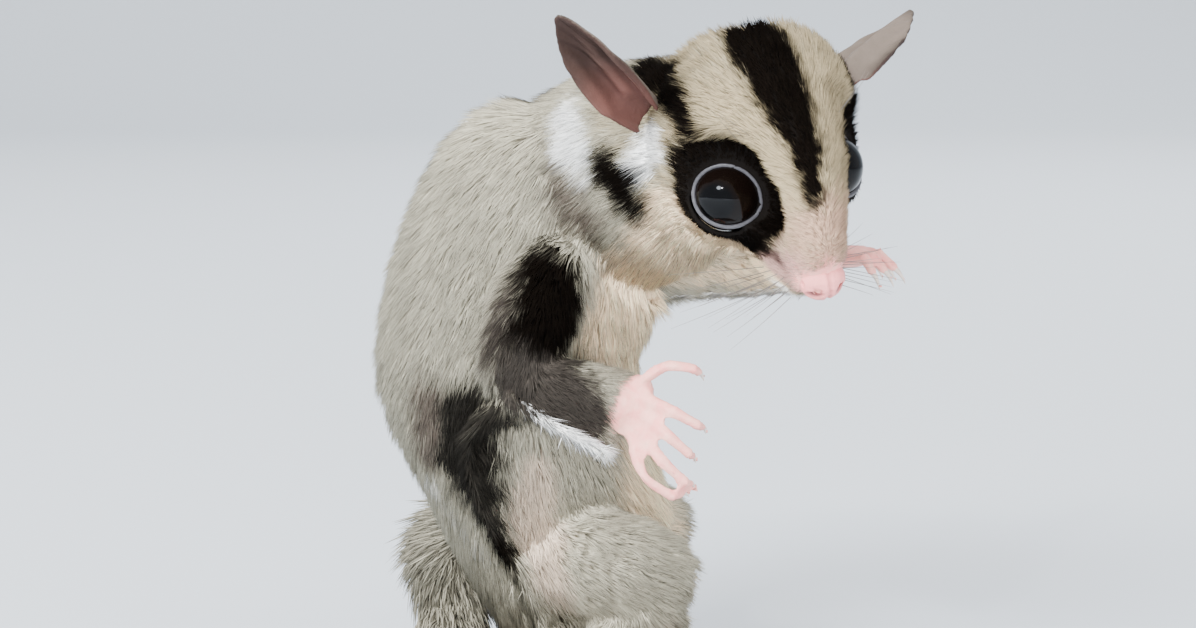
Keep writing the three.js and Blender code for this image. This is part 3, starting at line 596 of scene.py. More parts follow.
def tube(name, points, radii, sides=16, flat=1.0):
    """A closed round tube along layout points."""
    points = np.asarray(points, float)
    radii = np.broadcast_to(np.asarray(radii, float), (len(points),))
    tangent, side, over = frames_along(points)
    turn = np.arange(sides) * 2 * math.pi / sides
    rings = (
        points[:, None]
        + side[:, None] * (np.cos(turn)[None, :, None] * radii[:, None, None])
        + over[:, None] * (np.sin(turn)[None, :, None] * radii[:, None, None] * flat)
    )
    ends = (points[0] - tangent[0] * radii[0] * 0.6, points[-1] + tangent[-1] * radii[-1] * 0.6)
    verts = np.vstack([rings.reshape(-1, 3), *ends])
    faces = []
    first, last = len(verts) - 2, len(verts) - 1
    for i in range(len(points) - 1):
        for j in range(sides):
            a, b = i * sides + j, i * sides + (j + 1) % sides
            c, d = b + sides, a + sides
            faces += [(a, b, c), (a, c, d)]
    for j in range(sides):
        k = (j + 1) % sides
        faces.append((first, k, j))
        end = (len(points) - 1) * sides
        faces.append((last, end + j, end + k))
    return mesh_from(name, verts, faces)


# Materials.
class Value:
    """A number coming out of a socket, so that sums read as sums."""

    def __init__(self, look, socket):
        self.look, self.socket = look, socket

    def _sum(self, operation, *others):
        node = self.look.node("ShaderNodeMath", {"operation": operation})
        for slot, item in zip(node.inputs, others):
            self.look.join(item, slot)
        return Value(self.look, node.outputs[0])

    def __add__(self, other):
        return self._sum("ADD", self, other)

    def __radd__(self, other):
        return self._sum("ADD", other, self)

    def __rsub__(self, other):
        return self._sum("SUBTRACT", other, self)

    def __mul__(self, other):
        return self._sum("MULTIPLY", self, other)


class Look:
    """A material made of one shader and the nodes that feed it."""

    def __init__(self, name, **constants):
        self.material = bpy.data.materials.new(name)
        self.material.use_nodes = True
        self.tree = self.material.node_tree
        self.shader = self.tree.nodes["Principled BSDF"]
        for key, value in constants.items():
            self.shader.inputs[key.replace("_", " ")].default_value = value

    def node(self, kind, settings=None, inputs=None):
        made = self.tree.nodes.new(kind)
        for key, value in (settings or {}).items():
            setattr(made, key, value)
        for key, value in (inputs or {}).items():
            self.join(value, made.inputs[key])
        return made

    def join(self, value, socket):
        if isinstance(value, Value):
            self.tree.links.new(value.socket, socket)
        elif isinstance(value, bpy.types.NodeSocket):
            self.tree.links.new(value, socket)
        else:
            socket.default_value = value

    def set(self, **inputs):
        for key, value in inputs.items():
            self.join(value, self.shader.inputs[key.replace("_", " ")])
        return self

    def attribute(self, name, output="Color"):
        return self.node("ShaderNodeAttribute", {"attribute_name": name}).outputs[output]

    def noise(self, scale, detail=3.0, rough=0.5):
        """Noise over the piece's own coordinates; scale is the number of waves a millimetre."""
        place = self.node("ShaderNodeTexCoord").outputs["Object"]
        made = self.node(
            "ShaderNodeTexNoise",
            inputs={"Vector": place, "Scale": scale / MM, "Detail": detail, "Roughness": rough},
        )
        return Value(self, made.outputs[0])

    def mix(self, factor, a, b, kind="MIX"):
        made = self.node("ShaderNodeMix", {"data_type": "RGBA", "blend_type": kind})
        for socket, value in zip([s for s in made.inputs if s.enabled], (factor, a, b)):
            self.join(value, socket)
        return made.outputs["Result"] if made.outputs["Result"].enabled else made.outputs[2]

    def bump(self, height, strength, distance):
        made = self.node(
            "ShaderNodeBump", inputs={"Height": height, "Strength": strength, "Distance": distance * MM}
        )
        self.join(made.outputs[0], self.shader.inputs["Normal"])
        return self


def rgba(colour):
    """Three numbers of colour with full cover."""
    return (*[float(c) for c in colour], 1.0)


def coat_look():
    """Dull hair in the markings' colours, a little uneven."""
    look = Look("coat", Roughness=0.75, Specular_IOR_Level=0.03)
    flecks = look.noise(1.6, 2.0)
    flecked = look.mix(flecks, rgba((0.72,) * 3), rgba((1.2,) * 3))
    shade = look.mix(0.35, look.attribute("coat"), flecked, "MULTIPLY")
    return look.set(Base_Color=shade).material


def skin_look():
    """Skin that is dull under the coat and smoother where it is naked, with fine wrinkles."""
    look = Look("skin", Specular_IOR_Level=0.16)
    bare = Value(look, look.attribute("bare", "Fac"))
    mottle = look.noise(1.1, 4.0, 0.6)
    lines = look.noise(2.6, 2.0, 0.5)
    warm = look.mix(mottle, rgba((0.80, 0.74, 0.74)), rgba((1.12, 1.08, 1.06)))
    shade = look.mix(0.6, look.attribute("coat"), warm, "MULTIPLY")
    look.set(Base_Color=shade, Roughness=0.88 - bare * 0.42)
    return look.bump(lines + mottle * 0.6, 0.5, 0.16).material


def nose_look():
    """Damp, grained skin."""
    look = Look("nose", Specular_IOR_Level=0.5)
    grain = look.noise(3.2, 2.0)
    look.set(Base_Color=look.attribute("coat"), Roughness=0.34 + grain * 0.2)
    return look.bump(grain, 0.6, 0.12).material


def eye_look():
    """A dark, wet eye: a clear coat over the iris and pupil."""
    look = Look("eye", Roughness=0.2, Specular_IOR_Level=0.02)
    look.set(Coat_Weight=0.7, Coat_Roughness=0.02, Coat_IOR=1.3)
    return look.set(Base_Color=look.attribute("coat")).material


def ear_look():
    """Thin skin with veins."""
    look = Look("ear", Specular_IOR_Level=0.12)
    veins = look.noise(0.55, 5.0, 0.7)
    fine = look.noise(2.4, 2.0)
    tone = look.mix(veins, rgba((0.72, 0.66, 0.64)), rgba((1.2, 1.14, 1.12)))
    shade = look.mix(0.7, look.attribute("coat"), tone, "MULTIPLY")
    look.set(Base_Color=shade, Roughness=0.5 + fine * 0.15)
    return look.bump(fine + veins, 0.5, 0.14).material


def claw_look():
    """Pale horn."""
    look = Look("claw", Roughness=0.32, Specular_IOR_Level=0.5)
    tone = look.mix(look.noise(1.4, 2.0), rgba((0.52, 0.42, 0.36)), rgba((0.75, 0.66, 0.60)))
    return look.set(Base_Color=tone).material


def lid_look():
    """The dark, naked edge of the lids."""
    look = Look("lids", Specular_IOR_Level=0.45)
    grain = look.noise(2.2, 2.0)
    tone = look.mix(grain, rgba((0.022, 0.021, 0.024)), rgba((0.075, 0.074, 0.084)))
    look.set(Base_Color=tone, Roughness=0.34 + grain * 0.1)
    return look.bump(grain, 0.4, 0.08).material


def whisker_look():
    """Stiff dark hairs, some of them paler."""
    look = Look("whisker", Roughness=0.4)
    tone = look.mix(look.noise(0.2, 1.0), rgba((0.03, 0.025, 0.022)), rgba((0.22, 0.19, 0.17)))
    return look.set(Base_Color=tone).material


def floor_look(colour):
    """Matt card."""
    look = Look("studio floor", Roughness=0.9, Specular_IOR_Level=0.1)
    return look.set(Base_Color=rgba(colour)).material


# Skin.
FLESH = ["torso", "neck", "head"] + [
    f"{part}_{side}"
    for part in ("arm", "forearm", "hand", "thigh", "shin", "foot", "membrane")
    for side in ("right", "left")
]
TAIL_NODES = ["tail_1", "tail_2", "tail_3"]
SKIN_VOXEL = 0.46


def skin_colours(points):
    """Markings on the furred skin, naked pink on hands, feet, lips and the end of the muzzle."""
    bare = body_facts(points)[3]
    head = to_head(points)
    muzzle = 1 - smooth(np.linalg.norm(head - NOSE_AT, axis=1), 3.2, 7.0)
    lips = (1 - smooth(np.abs(head[:, 2] + 12.4), 0.6, 1.6)) * smooth(head[:, 0], 3.5, 6) * 0.8
    naked = np.clip(np.maximum(smooth(bare, 0.45, 0.85), np.maximum(muzzle, lips)), 0, 1)
    pale = 0.5 + 0.5 * ripple(points, 4.0, 8)
    flesh = PINK * (1 - pale[:, None]) + PALE_PINK * pale[:, None]
    return markings(points) * 0.75 * (1 - naked[:, None]) + flesh * naked[:, None], naked


# The fold of skin that hangs from the near forearm: its upper line and its free edge.
FOLD = [
    [(-10.5, -21.6, 46.5), (-4.2, -22.8, 44.2), (2.4, -22.8, 42)],
    [(-12.4, -22.8, 44.8), (-5.4, -24.4, 40.2), (1.2, -24.2, 37.0)],
]


def fold_parts():
    """Cords side by side that the skin joins into the fold."""
    upper, lower = np.array(FOLD, float)
    shares = np.linspace(0, 1, 6)
    return [tube("fold", curve_through(upper + (lower - upper) * k, 18), 0.95, 8) for k in shares]


def open_eyes(points):
    """Folds the skin back from the lids' edge and tucks the rest of it behind the eyeball."""
    for side in (1, -1):
        out, long, high = eye_axes(side)
        off = points - eye_centre(side)
        far = np.maximum(np.linalg.norm(off, axis=1), 1e-6)
        tilt = np.arccos(np.clip(off @ out / far, -1, 1))
        angle = np.arctan2(off @ high, off @ long)
        reach = lid_reach(angle)
        hold = smooth(far, EYE_RADIUS + 0.2, EYE_RADIUS + 0.9) * (1 - smooth(far, 8.5, 12.5))
        aside = np.maximum(tilt, tilt + (reach * 1.03 - tilt) * hold)
        covers = 1 - smooth(tilt / reach, 0.93, 1.03)
        share = covers * (1 - smooth(far, EYE_RADIUS + 0.5, EYE_RADIUS + 1.2))
        far = far + (np.minimum(far, EYE_RADIUS - 0.7) - far) * share
        around = long * np.cos(angle)[:, None] + high * np.sin(angle)[:, None]
        turned = out * np.cos(aside)[:, None] + around * np.sin(aside)[:, None]
        points = eye_centre(side) + turned * far[:, None]
    return points


# Where the crown of the head is raised, how far, and how wide the rise is.
CROWN_AT = (-13, 5.5, 19)
CROWN_RISE = 2.8
CROWN_WIDE = 8.5
# How far the solids are grown so that they join, how thick the tail's core is as a share of its
# hair, and how far the skin is drawn in: a fixed depth, and a share of the coat's depth.
JOIN_GROWTH = 0.25
TAIL_CORE = 0.5
SKIN_INSET = 0.25
COAT_INSET = 0.92


def make_skin(voxel):
    """One skin from nose to tail, drawn in by the depth of the coat that stands on it."""
    parts = [copy_of_node(node, JOIN_GROWTH) for node in FLESH]
    s = np.linspace(0, 1, 60)
    parts.append(tube("tail_core", curve_through(TAIL, 60), tail_radius(s) * TAIL_CORE, 14))
    parts += [copy_of_node("nose", 0), *fold_parts()]
    made = remeshed("skin", parts, voxel)
    mesh = made.data
    points = points_of(mesh)
    off_crown = np.linalg.norm((to_head(points) - CROWN_AT) * (1, 0.8, 1), axis=1)
    raised = np.exp(-((off_crown / CROWN_WIDE) ** 2))
    points = points + HEAD[2] * (raised * CROWN_RISE)[:, None]
    set_points(mesh, points)
    depth = body_facts(points)[1]
    off_tail = tail_gap(points)[0] > 3.6
    near_eye = eye_gap(points)
    even = np.clip(depth / 0.9, 0.12, 1) * smooth(near_eye, 5.0, 8.5) + 0.1
    relax(mesh, 16, np.clip(even, 0.1, 1))
    points = points_of(mesh)
    inset = SKIN_INSET + depth * off_tail * COAT_INSET
    set_points(mesh, points - normals_of(mesh) * inset[:, None])
    relax(mesh, 2, 0.5)
    points = open_eyes(points_of(mesh))
    points[:, 2] = np.maximum(points[:, 2], 0.02)
    set_points(mesh, points)
    colours, naked = skin_colours(points)
    on_tail = (1 - smooth(tail_gap(points)[0], 3.2, 4.4))[:, None]
    colour_points(made, "coat", colours * (1 - on_tail) + tail_colours(points) * 0.8 * on_tail)
    value_points(made, "bare", naked * (1 - on_tail[:, 0]))
    shade_smooth(made)
    return made


def tail_gap(points):
    """Distance from the tail's line, and the share of its length at the nearest place."""
    line = curve_through(TAIL, TAIL_STEPS)
    gap = np.full(len(points), 1e9)
    share = np.zeros(len(points))
    for i, place in enumerate(line):
        far = np.linalg.norm(points - place, axis=1)
        closer = far < gap
        gap[closer] = far[closer]
        share[closer] = i / (TAIL_STEPS - 1)
    return gap, share


def tail_colours(points):
    """Grey hair that darkens towards the tip."""
    _, share = tail_gap(points)
    tone = COAT * 0.5
    dark = smooth(share, 0.62, 1.0)[:, None] * 0.75
    wave = (1 + 0.12 * ripple(points, 5, 12))[:, None]
    return (tone * (1 - dark) + GREY * 0.35 * dark) * wave


# Coat.
class Coat:
    """Roots, directions and sizes of many tufts, gathered before they become a mesh."""

    def __init__(self, made, seed):
        mesh = made.data
        mesh.calc_loop_triangles()
        tris = np.empty(len(mesh.loop_triangles) * 3, np.int32)
        mesh.loop_triangles.foreach_get("vertices", tris)
        self.tris = tris.reshape(-1, 3)
        self.points = points_of(mesh)
        self.normals = normals_of(mesh)
        corner = self.points[self.tris]
        one, other = corner[:, 1] - corner[:, 0], corner[:, 2] - corner[:, 0]
        self.area = np.linalg.norm(np.cross(one, other), axis=1) / 2
        self.middle = corner.mean(1)
        self.random = np.random.default_rng(seed)

    def roots(self, want, count):
        """Places on the skin, chosen by area and by how much each triangle is wanted."""
        chance = np.cumsum(self.area * want)
        pick = np.searchsorted(chance, self.random.uniform(0, chance[-1], count))
        a, b = self.random.uniform(size=(2, count))
        flip = a + b > 1
        a, b = np.where(flip, 1 - a, a), np.where(flip, 1 - b, b)
        share = np.stack([1 - a - b, a, b], 1)[:, :, None]
        tri = self.tris[pick]
        return (self.points[tri] * share).sum(1), unit((self.normals[tri] * share).sum(1))


# Large primes that turn a cell's three numbers into one key.
CELL_PRIMES = (73856093, 19349663, 83492791)


def clumped(roots, tips, size, pull, random):
    """Draws the tips of hairs that stand close together towards one another."""
    offset = random.uniform(0, size, 3)
    wobble = 0.35 * size * np.sin(roots[:, [1, 2, 0]] * 1.7)
    cell = np.floor((roots + offset + wobble) / size).astype(np.int64)
    x, y, z = (cell * CELL_PRIMES).T
    _, key = np.unique(x ^ y ^ z, return_inverse=True)
    count = np.maximum(np.bincount(key), 1)
    centre = np.stack([np.bincount(key, tips[:, c]) / count for c in range(3)], 1)
    return tips + (centre[key] - tips) * pull


def tuft_mesh(name, roots, normals, lie, lengths, widths, lift, colours, places, random, look, clump, fine):
    """Closed, tapering tufts joined in one piece; the long ones bend half way."""
    count = len(roots)
    flat = unit(lie - normals * (lie * normals).sum(1, keepdims=True))
    across = np.cross(flat, normals)
    sway = random.normal(0, 0.20, count)[:, None] + 0.35 * ripple(roots, 7.5, 31)[:, None]
    flat = unit(flat + across * sway)
    across = np.cross(flat, normals)
    angle = (lift * random.uniform(0.75, 1.25, count))[:, None]
    first = unit(flat * np.cos(angle * 1.25) + normals * np.sin(angle * 1.25))
    second = unit(flat * np.cos(angle * 0.62) + normals * np.sin(angle * 0.62))
    lengths = (lengths * random.uniform(0.7, 1.25, count))[:, None]
    start = roots - normals * 0.12
    middle = start + first * lengths * 0.5
    tip = clumped(roots, middle + second * lengths * 0.55, clump, 0.35, random)
    rings = [(start, 1.0)] if fine else [(start, 0.75), (middle, 1.0)]
    points = 3 * len(rings) + 1
    verts = np.empty((count, points, 3))
    for ring, (centre, size) in enumerate(rings):
        for j in range(3):
            turn = 2 * math.pi * j / 3 + math.pi / 2
            spread = across * math.cos(turn) + normals * math.sin(turn) * 0.45
            verts[:, ring * 3 + j] = centre + spread * widths[:, None] * size
    verts[:, -1] = tip
    verts[:, :, 2] = np.maximum(verts[:, :, 2], FLOOR_CLEAR + np.arange(points) * 0.01)
    pattern = [(0, 2, 1)]
    for j in range(3):
        k = (j + 1) % 3
        pattern += [(j, k, 3)] if fine else [(j, k, 3 + k), (j, 3 + k, 3 + j), (3 + j, 3 + k, 6)]
    faces = (np.arange(count)[:, None, None] * points + np.array(pattern)[None]).reshape(-1, 3)
    made = mesh_from(name, verts.reshape(-1, 3), faces)
    tone = random.normal(1, 0.11, count)[:, None, None]
    dark_hair = (random.uniform(size=count) < 0.14)[:, None, None]
    ramp = np.array([0.78] * 3 + [1.14] if fine else [0.78] * 3 + [0.95] * 3 + [1.1])[None, :, None]
    shade = colours[:, None] * ramp * tone
    shade = np.where(dark_hair, shade * 0.42, shade)
    colour_points(made, "coat", np.clip(shade.reshape(-1, 3), 0.001, 1))
    bake_map(made, places, faces, points)
    return finished(made, look)


def bake_map(made, places, faces, points):
    """Each tuft is a small patch of the unwrap, at the place of its root."""
    patch = [(0, 0), (1, 0), (0.5, 0.4), (0, 0.5), (1, 0.5), (0.5, 0.8), (0.5, 1)]
    patch = np.array(patch[:3] + patch[-1:] if points == 4 else patch) * 0.003
    layer = made.data.uv_layers.new(name="OFBake")
    uv = places[faces // points] + patch[faces % points]
    layer.data.foreach_set("uv", uv.astype(np.float32).ravel())


def unwrapped(points, owner):
    """Where a root lies on an unwrap: one tile for each group, round it and along it."""
    columns = math.ceil(math.sqrt(len(GROUPS) + 1))
    place = np.zeros((len(points), 2))
    for index in range(len(GROUPS) + 1):
        here = owner == index
        if not here.any():
            continue
        if index < len(GROUPS):
            rows = [row for row in BONES if row[0] == GROUPS[index]]
            a, b = np.asarray(rows[0][1], float), np.asarray(rows[-1][2], float)
            axis = unit(b - a)
            side = unit(np.cross(axis, (0.3, 0.9, 0.31)))
            off = points[here] - a
            along = off @ axis
            round_it = np.arctan2(off @ np.cross(axis, side), off @ side) / (2 * math.pi) + 0.5
            along = (along - along.min()) / max(np.ptp(along), 1e-6)
        else:
            line = curve_through(TAIL, TAIL_STEPS)
            along = tail_gap(points[here])[1]
            _, side, over = frames_along(line)
            at = np.round(along * (TAIL_STEPS - 1)).astype(int)
            off = points[here] - line[at]
            round_it = np.arctan2((off * over[at]).sum(1), (off * side[at]).sum(1)) / (2 * math.pi) + 0.5
        tile = np.array([index % columns, index // columns]) / columns
        room = 1 / columns - 0.012
        place[here] = tile + 0.004 + np.stack([round_it, along], 1) * room
    return place


def coat_piece(coat, name, groups, count, width, lift, look, wanted=None, clump=1.3):
    """Tufts over some of the body's groups."""
    _, _, length, bare, owner = body_facts(coat.middle)
    inside = np.isin(owner, [GROUPS.index(g) for g in groups])
    off_tail = tail_gap(coat.middle)[0] > 3.9
    want = inside * off_tail * (1 - smooth(bare, 0.35, 0.75))
    if wanted is not None:
        want = want * wanted(coat.middle)
    muzzle = smooth(np.linalg.norm(to_head(coat.middle) - NOSE_AT, axis=1), 2.6, 4.2)
    want = want * muzzle
    for side in (1, -1):
        want = want * smooth(np.linalg.norm(coat.middle - eye_centre(side), axis=1), 4.85, 5.2)
    roots, normals = coat.roots(want / np.maximum(length, 0.6) ** 0.7, count)
    lie, _, length, _, owner = body_facts(roots)
    lie = lie + np.array([0, 0, -0.2])
    widths = width * np.clip(length / 2.6, 0.5, 1.1) * coat.random.uniform(0.8, 1.25, count)
    return tuft_mesh(
        name, roots, normals, lie, length, widths, np.full(count, lift), markings(roots),
        unwrapped(roots, owner), coat.random, look, clump, True,
    )


# Free edges of the gliding membrane, where its rim of long white hair runs, with a half width.
RIMS = [
    [(-12.6, -23.2, 44.2, 0.5), (-5.6, -25.0, 39.6, 0.8), (1.6, -24.8, 36.4, 0.5)],
    [(-23.6, -9.5, 33, 0.4), (-20, -12.6, 27.5, 0.6), (-15.7, -15.2, 22.9, 0.6), (-11.6, -17.4, 14.6, 0.4)],
    [
        (28, 8.6, 54, 0.4), (19, 12, 52.4, 0.6), (9, 15, 51.4, 0.6), (-3, 17.4, 48, 0.5),
        (-10, 18.6, 39, 0.5), (-10, 18.6, 28, 0.4),
    ],
]
RIM_HAIR = 2.3


def rim_piece(coat, count, look):
    """The white hair along the membrane's edges, lying along them over the rest."""
    want = np.zeros(len(coat.middle))
    for path in RIMS:
        want = np.maximum(want, mark_strength(coat.middle, path, 0.7, 0))
    roots, normals = coat.roots(want, count)
    lie = np.zeros_like(roots)
    best = np.full(count, 1e9)
    for path in RIMS:
        for a, b in zip(path, path[1:]):
            a, b = np.array(a[:3]), np.array(b[:3])
            t = np.clip((roots - a) @ (b - a) / ((b - a) @ (b - a)), 0, 1)
            gap = np.linalg.norm(roots - (a + t[:, None] * (b - a)), axis=1)
            lie[gap < best] = unit(b - a)
            best = np.minimum(best, gap)
    owner = body_facts(roots)[4]
    return tuft_mesh(
        "coat_rim", roots + normals * 0.45, normals, lie + (0, 0, -0.25), np.full(count, RIM_HAIR),
        np.full(count, 0.12), np.full(count, 0.22), np.repeat(WHITE[None], count, 0),
        unwrapped(roots, owner), coat.random, look, 0.8, True,
    )


def tail_piece(coat, name, span, count, look):
    """The tail's long hair over one span of its length, laid flat where it closes at the tip."""
    random = coat.random
    line = curve_through(TAIL, 200)
    tangent, side, over = frames_along(line)
    s = random.uniform(*span, count)
    at = np.clip(np.round(s * 199).astype(int), 0, 199)
    turn = random.uniform(0, 2 * math.pi, count)
    normals = side[at] * np.cos(turn)[:, None] + over[at] * np.sin(turn)[:, None]
    radius = tail_radius(s)
    roots = line[at] + normals * (radius * 0.46 * (1 - 0.92 * smooth(s, 0.965, 1)))[:, None]
    lengths = TAIL_HAIR * np.clip(radius / TAIL_RADIUS, 0.5, 1) * random.uniform(0.7, 1.05, count)
    lift = (0.40 + random.uniform(-0.12, 0.1, count)) * (1 - 0.92 * smooth(s, 0.84, 0.98))
    under = roots[:, 2] + normals[:, 2] * lengths * np.sin(lift)
    lift = np.where(under < 0.7, lift * 0.35, lift)
    keep = roots[:, 2] > 0.5
    roots, normals, lengths, lift, at = (x[keep] for x in (roots, normals, lengths, lift, at))
    return tuft_mesh(
        name, roots, normals, tangent[at], lengths, np.full(len(roots), 0.20), lift, tail_colours(roots),
        unwrapped(roots, np.full(len(roots), len(GROUPS))), random, look, 1.5, False,
    )


# Eyes and lids.
IRIS = np.array([0.0028, 0.0016, 0.0012])
PUPIL = np.array([0.0008, 0.0009, 0.0012])


def make_eye(side, look):
    """An eyeball whose cornea bulges a little, with a wide pupil."""
    name = "eyeball_right" if side > 0 else "eyeball_left"
    work = bmesh.new()
    bmesh.ops.create_uvsphere(work, u_segments=64, v_segments=40, radius=EYE_RADIUS)
    mesh = mesh_of(name, work)
    made = placed(name, mesh)
    local = np.array([v.co for v in mesh.vertices])
    turn = np.array(Vector((0, 0, 1)).rotation_difference(Vector(gaze(side))).to_matrix())
    facing = np.clip(unit(local)[:, 2], -1, 1)
    angle = np.degrees(np.arccos(facing))
    bulge = 1 + 0.035 * (1 - smooth(angle, 20, 52))
    set_points(mesh, eye_centre(side) + (local * bulge[:, None]) @ turn.T)
    pupil = (1 - smooth(angle, 26, 36))[:, None]
    colour_points(made, "coat", IRIS * (1 - pupil) + PUPIL * pupil)
    return finished(made, look)


# Half the opening of the lids, in degrees along and across it, and for each side how far out and
# up its middle lies.
LID_OPENING = (62, 53)
LID_GAZE = {1: (29, 35), -1: (44, 27)}
LID_CORD = 0.30


def eye_axes(side):
    """Out through the middle of the lids, along the opening to its front corner, and up across it."""
    wide, up = (math.radians(a) for a in LID_GAZE[side])
    out = np.array([math.cos(wide) * math.cos(up), side * math.sin(wide) * math.cos(up), math.sin(up)]) @ HEAD
    ahead = np.array([0.545, -side * 0.766, -0.339]) @ HEAD
    long = unit(ahead - out * (ahead @ out))
    high = np.cross(out, long)
    return out, long, high * np.sign(high @ HEAD[2])


def lid_reach(angle):
    """How far the lids' edge lies from the gaze, at each angle round it: an almond with drawn corners."""
    c, s = np.cos(angle), np.sin(angle)
    corner = 1 + 0.13 * np.maximum(c, 0) ** 12 + 0.04 * np.maximum(-c, 0) ** 12
    return np.hypot(c * math.radians(LID_OPENING[0]), s * math.radians(LID_OPENING[1])) * corner


def make_lids(side, look):
    """The naked rim of the eye: a soft cord along the lids' edge."""
    out, long, high = eye_axes(side)
    turns, sides = 72, 10
    angle = np.arange(turns) * 2 * math.pi / turns
    wide = lid_reach(angle)[:, None]
    around = long * np.cos(angle)[:, None] + high * np.sin(angle)[:, None]
    outward = out * np.cos(wide) + around * np.sin(wide)
    away = around * np.cos(wide) - out * np.sin(wide)
    line = eye_centre(side) + outward * (EYE_RADIUS + 0.1)
    turn = np.arange(sides) * 2 * math.pi / sides
    ring = (
        line[:, None]
        + away[:, None] * (0.16 + np.cos(turn) * LID_CORD)[None, :, None]
        + outward[:, None] * (0.02 + np.sin(turn) * LID_CORD)[None, :, None]
    )
    faces = []
    for i in range(turns):
        for j in range(sides):
            a, b = i * sides + j, i * sides + (j + 1) % sides
            c, d = ((i + 1) % turns) * sides + (j + 1) % sides, ((i + 1) % turns) * sides + j
            faces += [(a, b, c), (a, c, d)]
    made = mesh_from("lids_right" if side > 0 else "lids_left", ring.reshape(-1, 3), faces)
    turn_outwards(made)
    return finished(made, look)


def turn_outwards(made):
    """Makes every face of a closed piece look out."""
    work = bmesh.new()
    work.from_mesh(made.data)
    bmesh.ops.recalc_face_normals(work, faces=work.faces)
    work.to_mesh(made.data)
    work.free()


# Ears: root, run of the ear and the way its cup faces, on the head.
EARS = {
    "right": ((-11.5, 13.9, 10), (-1.2, 10.8, 13.7), (0.72, 0.62, -0.1)),
    "left": ((-10.5, -12.5, 7), (-6.5, -16.2, -0.2), (0.5, -0.35, -0.9)),
}
EAR_LENGTH = 18
EAR_CUP = np.array([0.038, 0.023, 0.019])
EAR_CANAL = np.array([0.105, 0.048, 0.04])
EAR_EDGE = np.array([0.03, 0.02, 0.018])
EAR_BACK = np.array([0.13, 0.108, 0.09])


def make_ear(which, look):
    """A thin cupped ear with folds in the cup, painted lighter on the folds' ridges and darker in their
    furrows as painted light and shade, dark at the edge and pinker towards the canal.
    """
    root, run, facing = EARS[which]
    root, run, facing = in_head(root), unit(np.array(run) @ HEAD), unit(np.array(facing) @ HEAD)
    made = remeshed("ear_skin_" + which, [copy_of_node("ear_" + which, 0.02)], 0.24)
    relax(made.data, 14, 0.9)
    points = points_of(made.data)
    facing = unit(facing - run * (facing @ run))
    across = np.cross(facing, run)
    off = points - root
    share = off @ run / EAR_LENGTH
    wide = off @ across
    steps = np.linspace(0, 1, 12)
    middle = np.interp(share, steps, [wide[np.abs(share - k) < 0.08].mean() for k in steps])
    narrow = 0.84 - 0.10 * smooth(share, 0.6, 1.0)
    points = points + across * ((wide - middle) * (narrow - 1))[:, None]
    wide = (wide - middle) * narrow
    cup = smooth(share, 0.0, 0.15) * (1 - smooth(share, 0.45, 0.8))
    broad = np.sin(wide * 2.1 + share * 3.0)
    fine = np.sin(wide * 5.2 - share * 16)
    fold = 0.42 * broad * cup + 0.10 * fine * smooth(share, 0.2, 0.5)
    points = points + facing * fold[:, None]
    set_points(made.data, points)
    normals = normals_of(made.data)
    inside = smooth(normals @ facing, -0.1, 0.35)[:, None]
    deep = (1 - smooth(share, 0.05, 0.55))[:, None]
    # Painted highlight on the folds' ridges and painted shade in their furrows.
    ridge_highlight = smooth(broad, -0.3, 0.8)[:, None] * cup[:, None]
    inner = EAR_CUP * (1 - deep) + EAR_CANAL * deep
    inner = inner * (0.75 + 0.6 * ridge_highlight)
    edge = np.maximum(smooth(np.abs(wide), 3.0, 4.6), smooth(share, 0.75, 1.0))[:, None]
    inner = inner * (1 - edge * 0.65) + EAR_EDGE * edge * 0.65
    back = EAR_BACK * (1 - edge * 0.6)
    colour_points(made, "coat", inner * inside + back * (1 - inside))
    return finished(made, look)


def make_nose(look):
    """The naked nose: a groove down its middle and two nostrils that open to the sides, darkened with painted
    shade.
    """
    made = remeshed("nose_pad", [copy_of_node("nose", 0.12)], 0.17)
    relax(made.data, 8, 0.9)
    points, normals = points_of(made.data), normals_of(made.data)
    head = to_head(points)
    beside = np.abs(head[:, 1])
    off = np.hypot(np.hypot((beside - 1.75) * 0.8, (head[:, 2] + 7.3) * 1.25), (head[:, 0] - 14.4) * 0.6)
    hole = 1 - smooth(off, 0.35, 1.0)
    groove = (1 - smooth(beside, 0.05, 0.45)) * smooth(head[:, 0], 13.2, 14.4)
    set_points(made.data, points - normals * (hole * 0.55 + groove * 0.16)[:, None])
    tone = PINK * (1.02 - 0.12 * smooth(beside, 0.5, 2.4))[:, None] * np.array([1.0, 0.95, 0.97])
    # Painted shade: the nostrils and the groove are darkened to stand for the shade inside them.
    dark = np.clip(hole * 1.1 + groove * 0.25, 0, 1)[:, None]
    colour_points(made, "coat", tone * (1 - dark) + np.array([0.10, 0.02, 0.02]) * dark)
    return finished(made, look)


# Claws and whiskers.
def path_edges(name, paths):
    """Bare lines for a node tree to sweep along."""
    mesh = bpy.data.meshes.new(name)
    points = np.vstack(paths)
    edges, start = [], 0
    for path in paths:
        edges += [(start + i, start + i + 1) for i in range(len(path) - 1)]
        start += len(path)
    mesh.from_pydata([tuple(p) for p in to_frame(points)], edges, [])
    return placed(name, mesh)


